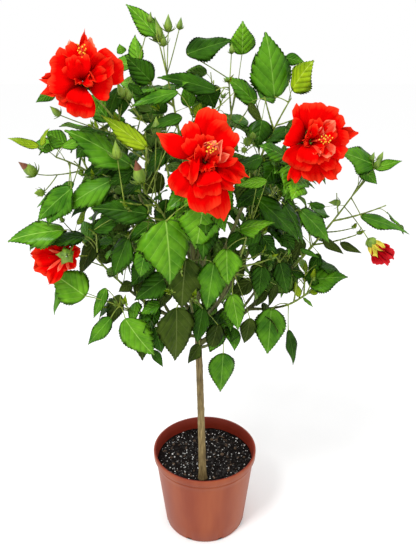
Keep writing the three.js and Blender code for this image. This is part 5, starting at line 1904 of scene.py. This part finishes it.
# %% Anthers
bm = bmesh.new()
bmesh.ops.create_icosphere(bm, subdivisions=1, radius=1)
grain_corners, grain_faces = pattern_of(bm)
anther_copies = np.array([centre + grain_corners * size for centre, size in anthers])
show_foliage("anthers", anther_copies, grain_faces, anther_finish, "foliage_bright")

# %% [markdown]
# ## Nursery pot
#
# The pot is injection moulded: one thin wall that widens upward, a low bead, a stiff collar under
# the rim and arched drain notches round its foot. All of it but the notches is one outline turned
# about the axis, which is what the spin operator does. The outline goes up the outside, over the
# rim and down the inside. The notches are cut with a Boolean, and then every face that looks
# toward the axis gets a darker, redder finish: painted shade for the inside, which light hardly reaches.

# %% Pot outline
POT_HEIGHT, RIM, BASE, WALL = 208, 127, 100, 2.2
COLLAR, COLLAR_STEP = 17, 3
NOTCHES, NOTCH_WIDTH, NOTCH_HEIGHT = 8, 16, 8


def wall_radius(z):
    """Radius of the plain wall's outside at a height."""
    return BASE + (RIM - COLLAR_STEP - BASE) * z / POT_HEIGHT


def outside(z, out=0.0):
    """A point of the outline, that far out from the plain wall."""
    return (wall_radius(z) + out, z)


shoulder = POT_HEIGHT - COLLAR
pot_outline = [
    (0, 0), (wall_radius(0) - 6, 0), (wall_radius(0) - 3.4, 0.4), (wall_radius(1) - 1.2, 1.6),
    (wall_radius(3), 4), outside(40), outside(120), outside(170),
    outside(shoulder - 11), outside(shoulder - 9.4, 0.7), outside(shoulder - 8, 0.9),  # the bead
    outside(shoulder - 6.6, 0.7), outside(shoulder - 5), (wall_radius(shoulder) + 0.1, shoulder - 0.3),
    (RIM - 1.2, shoulder + 0.6), (RIM - 0.4, shoulder + 1.6), (RIM, POT_HEIGHT - 3),
    (RIM - 0.2, POT_HEIGHT - 1), (RIM - 0.9, POT_HEIGHT - 0.2), (RIM - 1.8, POT_HEIGHT),
    (wall_radius(POT_HEIGHT) - WALL + 0.8, POT_HEIGHT - 0.2),  # over the rim and down the inside
    (wall_radius(POT_HEIGHT) - WALL, POT_HEIGHT - 1.2), outside(shoulder + 4, -WALL),
    outside(shoulder, -WALL - 0.7), outside(shoulder - 4, -WALL), outside(100, -WALL),
    outside(6, -WALL), (wall_radius(4) - WALL - 3, WALL), (0, WALL),
]


def mesh_of(name, bm):
    """A smooth mesh from a bmesh, which is freed."""
    for f in bm.faces:
        f.smooth = True
    mesh = bpy.data.meshes.new(name)
    bm.to_mesh(mesh)
    bm.free()
    return mesh


def spin_outline(outline, steps):
    """A closed body from (radius, height) pairs turned about the axis."""
    bm = bmesh.new()
    corners = [bm.verts.new((r * MM, 0, z * MM)) for r, z in outline]
    edges = [bm.edges.new(pair) for pair in zip(corners, corners[1:])]
    bmesh.ops.spin(
        bm, geom=corners + edges, cent=(0, 0, 0), axis=(0, 0, 1), angle=TURN, steps=steps,
        use_merge=True, use_duplicate=False,
    )
    bmesh.ops.remove_doubles(bm, verts=bm.verts, dist=1e-6)
    bmesh.ops.recalc_face_normals(bm, faces=bm.faces)
    return bm


def plastic_finish(name, low, high, roughness):
    """Moulded plastic, in faint upright streaks where it flowed into the mould."""
    material, shader = new_finish(name, high, roughness, Specular_IOR_Level=0.25)
    two_tone(material, shader, blotches(material, 16, 3, (1, 1, 0.16)), low, high)
    bumped(material, shader, blotches(material, 900, 3), 0.06, 0.0003)
    return material


pot_finish = plastic_finish("terracotta_plastic", srgb(132, 57, 31), srgb(150, 75, 42), 0.42)
# Painted shade: a darker, redder copy of the plastic for the inside, where light hardly reaches.
inside_painted_shade_finish = plastic_finish("terracotta_inside_painted_shade", srgb(118, 34, 19), srgb(130, 42, 24), 0.5)

pot_mesh = mesh_of("nursery_pot", spin_outline(pot_outline, 128))
pot = show("nursery_pot", pot_mesh, pot_finish, "pot", "pot")
pot_mesh.materials.append(inside_painted_shade_finish)

# %% Drain notches
NOTCH_IN, CUTTER_DEPTH = 6, 24  # how far inside the foot's rim the cutter's middle lies
SHARP = math.radians(40)

bm = bmesh.new()
for k in range(NOTCHES):
    turn = Matrix.Rotation((k + 0.5) / NOTCHES * TURN, 4, "Z")
    arch = Matrix.Diagonal((1, 1, 2 * NOTCH_HEIGHT / NOTCH_WIDTH, 1))
    lay = Matrix.Rotation(math.pi / 2, 4, "Y")
    place = turn @ Matrix.Translation(((BASE - NOTCH_IN) * MM, 0, 0)) @ arch @ lay
    bmesh.ops.create_cone(
        bm, cap_ends=True, segments=24, radius1=NOTCH_WIDTH / 2 * MM, radius2=NOTCH_WIDTH / 2 * MM,
        depth=CUTTER_DEPTH * MM, matrix=place,
    )
cutter = add_object("notch_cutter", mesh_of("notch_cutter", bm))
cut = pot.modifiers.new("notches", "BOOLEAN")
cut.object = cutter
cut.solver = "EXACT"
ready = bpy.context.evaluated_depsgraph_get()
cut_mesh = bpy.data.meshes.new_from_object(pot.evaluated_get(ready))
pot.modifiers.clear()
pot.data = cut_mesh
bpy.data.objects.remove(cutter)
# Faces that look toward the axis get the inside's painted shade.
for polygon in pot.data.polygons:
    polygon.use_smooth = True
    polygon.material_index = int(polygon.normal.dot(polygon.center * Vector((1, 1, 0))) < 0)
pot.data.set_sharp_from_angle(angle=SHARP)
print("pot", len(pot.data.polygons), "faces")

# %% [markdown]
# ## Potting mix
#
# Potting mix for shrubs is ground bark and peat, nearly black when damp, with white grains of
# perlite all through it. A rolled-up grid again gives a disc, noise makes it lumpy, and its edge
# is drawn down into the pot. Lumps, chips and perlite are joined copies of a rough ball.

# %% Soil bed
def soil_height(x, y):
    """Height of the soil over its level at a place, in millimetres."""
    broad = noise.noise(Vector((x * 0.02, y * 0.02, 3)))
    lumpy = noise.noise(Vector((x * 0.12, y * 0.12, 7)))
    fine = noise.noise(Vector((x * 0.4, y * 0.4, 11)))
    return 1.6 * broad + 1.3 * lumpy + 0.7 * fine


SOIL_LEVEL = SOIL_TOP - 1.5
SOIL_EDGE = wall_radius(SOIL_TOP) - WALL - 0.4
SOIL_FOOT, FOOT_HEIGHT = wall_radius(20) - WALL - 0.6, 3.2  # its radius and place at the bottom
bm = bmesh.new()
bmesh.ops.create_grid(bm, x_segments=110, y_segments=44, size=0.5)
for v in bm.verts:
    angle, radius = (v.co.x + 0.5) * TURN, (v.co.y + 0.5) * SOIL_EDGE
    x, y = radius * math.cos(angle), radius * math.sin(angle)
    v.co = Vector((x, y, SOIL_LEVEL + soil_height(x, y))) * MM
bmesh.ops.remove_doubles(bm, verts=bm.verts, dist=1e-6)
rim = [e for e in bm.edges if e.is_boundary]
wall = bmesh.ops.extrude_edge_only(bm, edges=rim)["geom"]
for v in [g for g in wall if isinstance(g, bmesh.types.BMVert)]:
    shrink = SOIL_FOOT / SOIL_EDGE
    v.co = Vector((v.co.x * shrink, v.co.y * shrink, FOOT_HEIGHT * MM))
bmesh.ops.holes_fill(bm, edges=[e for e in bm.edges if e.is_boundary], sides=0)
bmesh.ops.recalc_face_normals(bm, faces=bm.faces)
soil_mesh = mesh_of("potting_mix", bm)

soil_finish, soil_shader = new_finish("damp_potting_mix", srgb(20, 15, 12), 0.95, Specular_IOR_Level=0.1)
crumbs = blotches(soil_finish, 420, 8, roughness=0.8)
soil_stops = [(0.3, srgb(4, 3, 3)), (0.55, srgb(20, 15, 13)), (0.8, srgb(58, 46, 40))]
feed(soil_finish, soil_shader.inputs["Base Color"], ramp(soil_finish, crumbs, soil_stops))
bumped(soil_finish, soil_shader, crumbs, 0.9, 0.003)
show("potting_mix", soil_mesh, soil_finish, "soil", "soil")

# %% Lumps, bark chips and perlite
TRUNK_ROOM = 11  # millimetres round the trunk's middle that stay clear of grains


def scatter(number, seed, low, high, flat, reach_in):
    """Rough grains lying on the soil: each is a turned, squashed and roughened ball."""
    draw = stream(seed)
    made = []
    while len(made) < number:
        radius, angle = math.sqrt(draw()) * (SOIL_EDGE - reach_in), draw() * TURN
        x, y = radius * math.cos(angle), radius * math.sin(angle)
        size = low + (high - low) * draw() ** 2
        if math.hypot(x - TRUNK_LINE[0][0], y - TRUNK_LINE[0][1]) < TRUNK_ROOM + size:
            continue
        turn = Matrix.Rotation(draw() * 6.3, 3, "Z") @ Matrix.Rotation((draw() - 0.5) * 1.4, 3, "X")
        shape = Matrix.Diagonal((1, 0.45 + 0.5 * draw(), flat * (0.6 + 0.6 * draw())))
        jag = np.array([[0.75 + 0.5 * draw()] for _ in grain_corners])
        corners = (grain_corners * jag) @ np.array(turn @ shape).T * size
        made.append(corners + vec(x, y, SOIL_LEVEL + soil_height(x, y) + size * flat * 0.35))
    return np.array(made)


def grain_finish(name, low, high, roughness):
    material, shader = new_finish(name, high, roughness)
    two_tone(material, shader, blotches(material, 160, 4), low, high)
    bumped(material, shader, blotches(material, 1400, 3), 0.3, 0.0004)
    return material


def show_grains(name, grains, material):
    show(name, write_mesh(name, grains, grain_faces), material, "soil")


perlite_finish = grain_finish("perlite", srgb(206, 206, 202), srgb(244, 244, 240), 0.9)
chip_finish = grain_finish("bark_chip", srgb(40, 28, 20), srgb(104, 82, 60), 0.85)
lump_finish = grain_finish("peat_lump", srgb(5, 4, 4), srgb(30, 24, 21), 0.95)
show_grains("perlite", scatter(420, 21, 0.7, 2.4, 0.7, 3), perlite_finish)
show_grains("bark_chips", scatter(150, 22, 1.6, 6.5, 0.3, 7), chip_finish)
show_grains("peat_lumps", scatter(1300, 23, 1.0, 4.2, 0.6, 4), lump_finish)

# %% [markdown]
# ## Stage, light and camera
#
# A plain pale floor, a bright even sky and two large soft lamps give the flat, clear light of a
# catalogue picture. The camera stands about as high as the top of the crown and looks down.

# %% Stage
FLOOR_REACH = 30  # metres, so that its edge stays out of the picture

bm = bmesh.new()
bmesh.ops.create_grid(bm, x_segments=1, y_segments=1, size=FLOOR_REACH)
floor = add_object("floor", mesh_of("floor", bm))
floor_finish, _ = new_finish("pale_floor", (0.99, 0.99, 0.99, 1), 1.0, Specular_IOR_Level=0)
floor.data.materials.append(floor_finish)
floor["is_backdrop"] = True

world = bpy.data.worlds.new("studio")
world.use_nodes = True
world.node_tree.nodes["Background"].inputs["Color"].default_value = (1, 1, 1, 1)
world.node_tree.nodes["Background"].inputs["Strength"].default_value = 1.0
bpy.context.scene.world = world
bpy.context.scene.view_settings.view_transform = "Standard"
bpy.context.scene.view_settings.look = "None"


def soft_lamp(name, place, target, size, power):
    """A square lamp at a place, in metres, turned toward a target."""
    lamp = bpy.data.lights.new(name, "AREA")
    lamp.shape = "SQUARE"
    lamp.size = size
    lamp.energy = power
    piece = add_object(name, lamp)
    piece.location = place
    piece.rotation_euler = (Vector(target) - Vector(place)).to_track_quat("-Z", "Y").to_euler()


soft_lamp("key_lamp", (-1.1, -1.5, 2.9), (0, -0.1, 0.8), 0.7, 52)
soft_lamp("fill_lamp", (1.9, -1.6, 1.7), (0, -0.1, 0.7), 1.6, 6)

# %% Camera
SENSOR = 36  # millimetres along the longer side of the picture

camera_data = bpy.data.cameras.new("camera")
camera_data.lens = round(FOCAL * SENSOR / max(PICTURE), 2)
camera_data.sensor_width = SENSOR
camera = add_object("camera", camera_data)
camera.location = CAMERA_PLACE * MM
camera.rotation_euler = (math.radians(90) - CAMERA_TILT, 0, 0)
bpy.context.scene.camera = camera

# %% [markdown]
# ## Size
#
# The finished plant has to keep inside the imported model's box. Both boxes are printed so that
# they can be compared.

# %% Size and finish
boxes = {
    "packed": [list(corner) for corner in packed_box],
    "visual": [list(corner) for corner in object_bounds()],
}
for name, (low, high) in boxes.items():
    print(name, [round(x, 3) for x in low], [round(x, 3) for x in high])
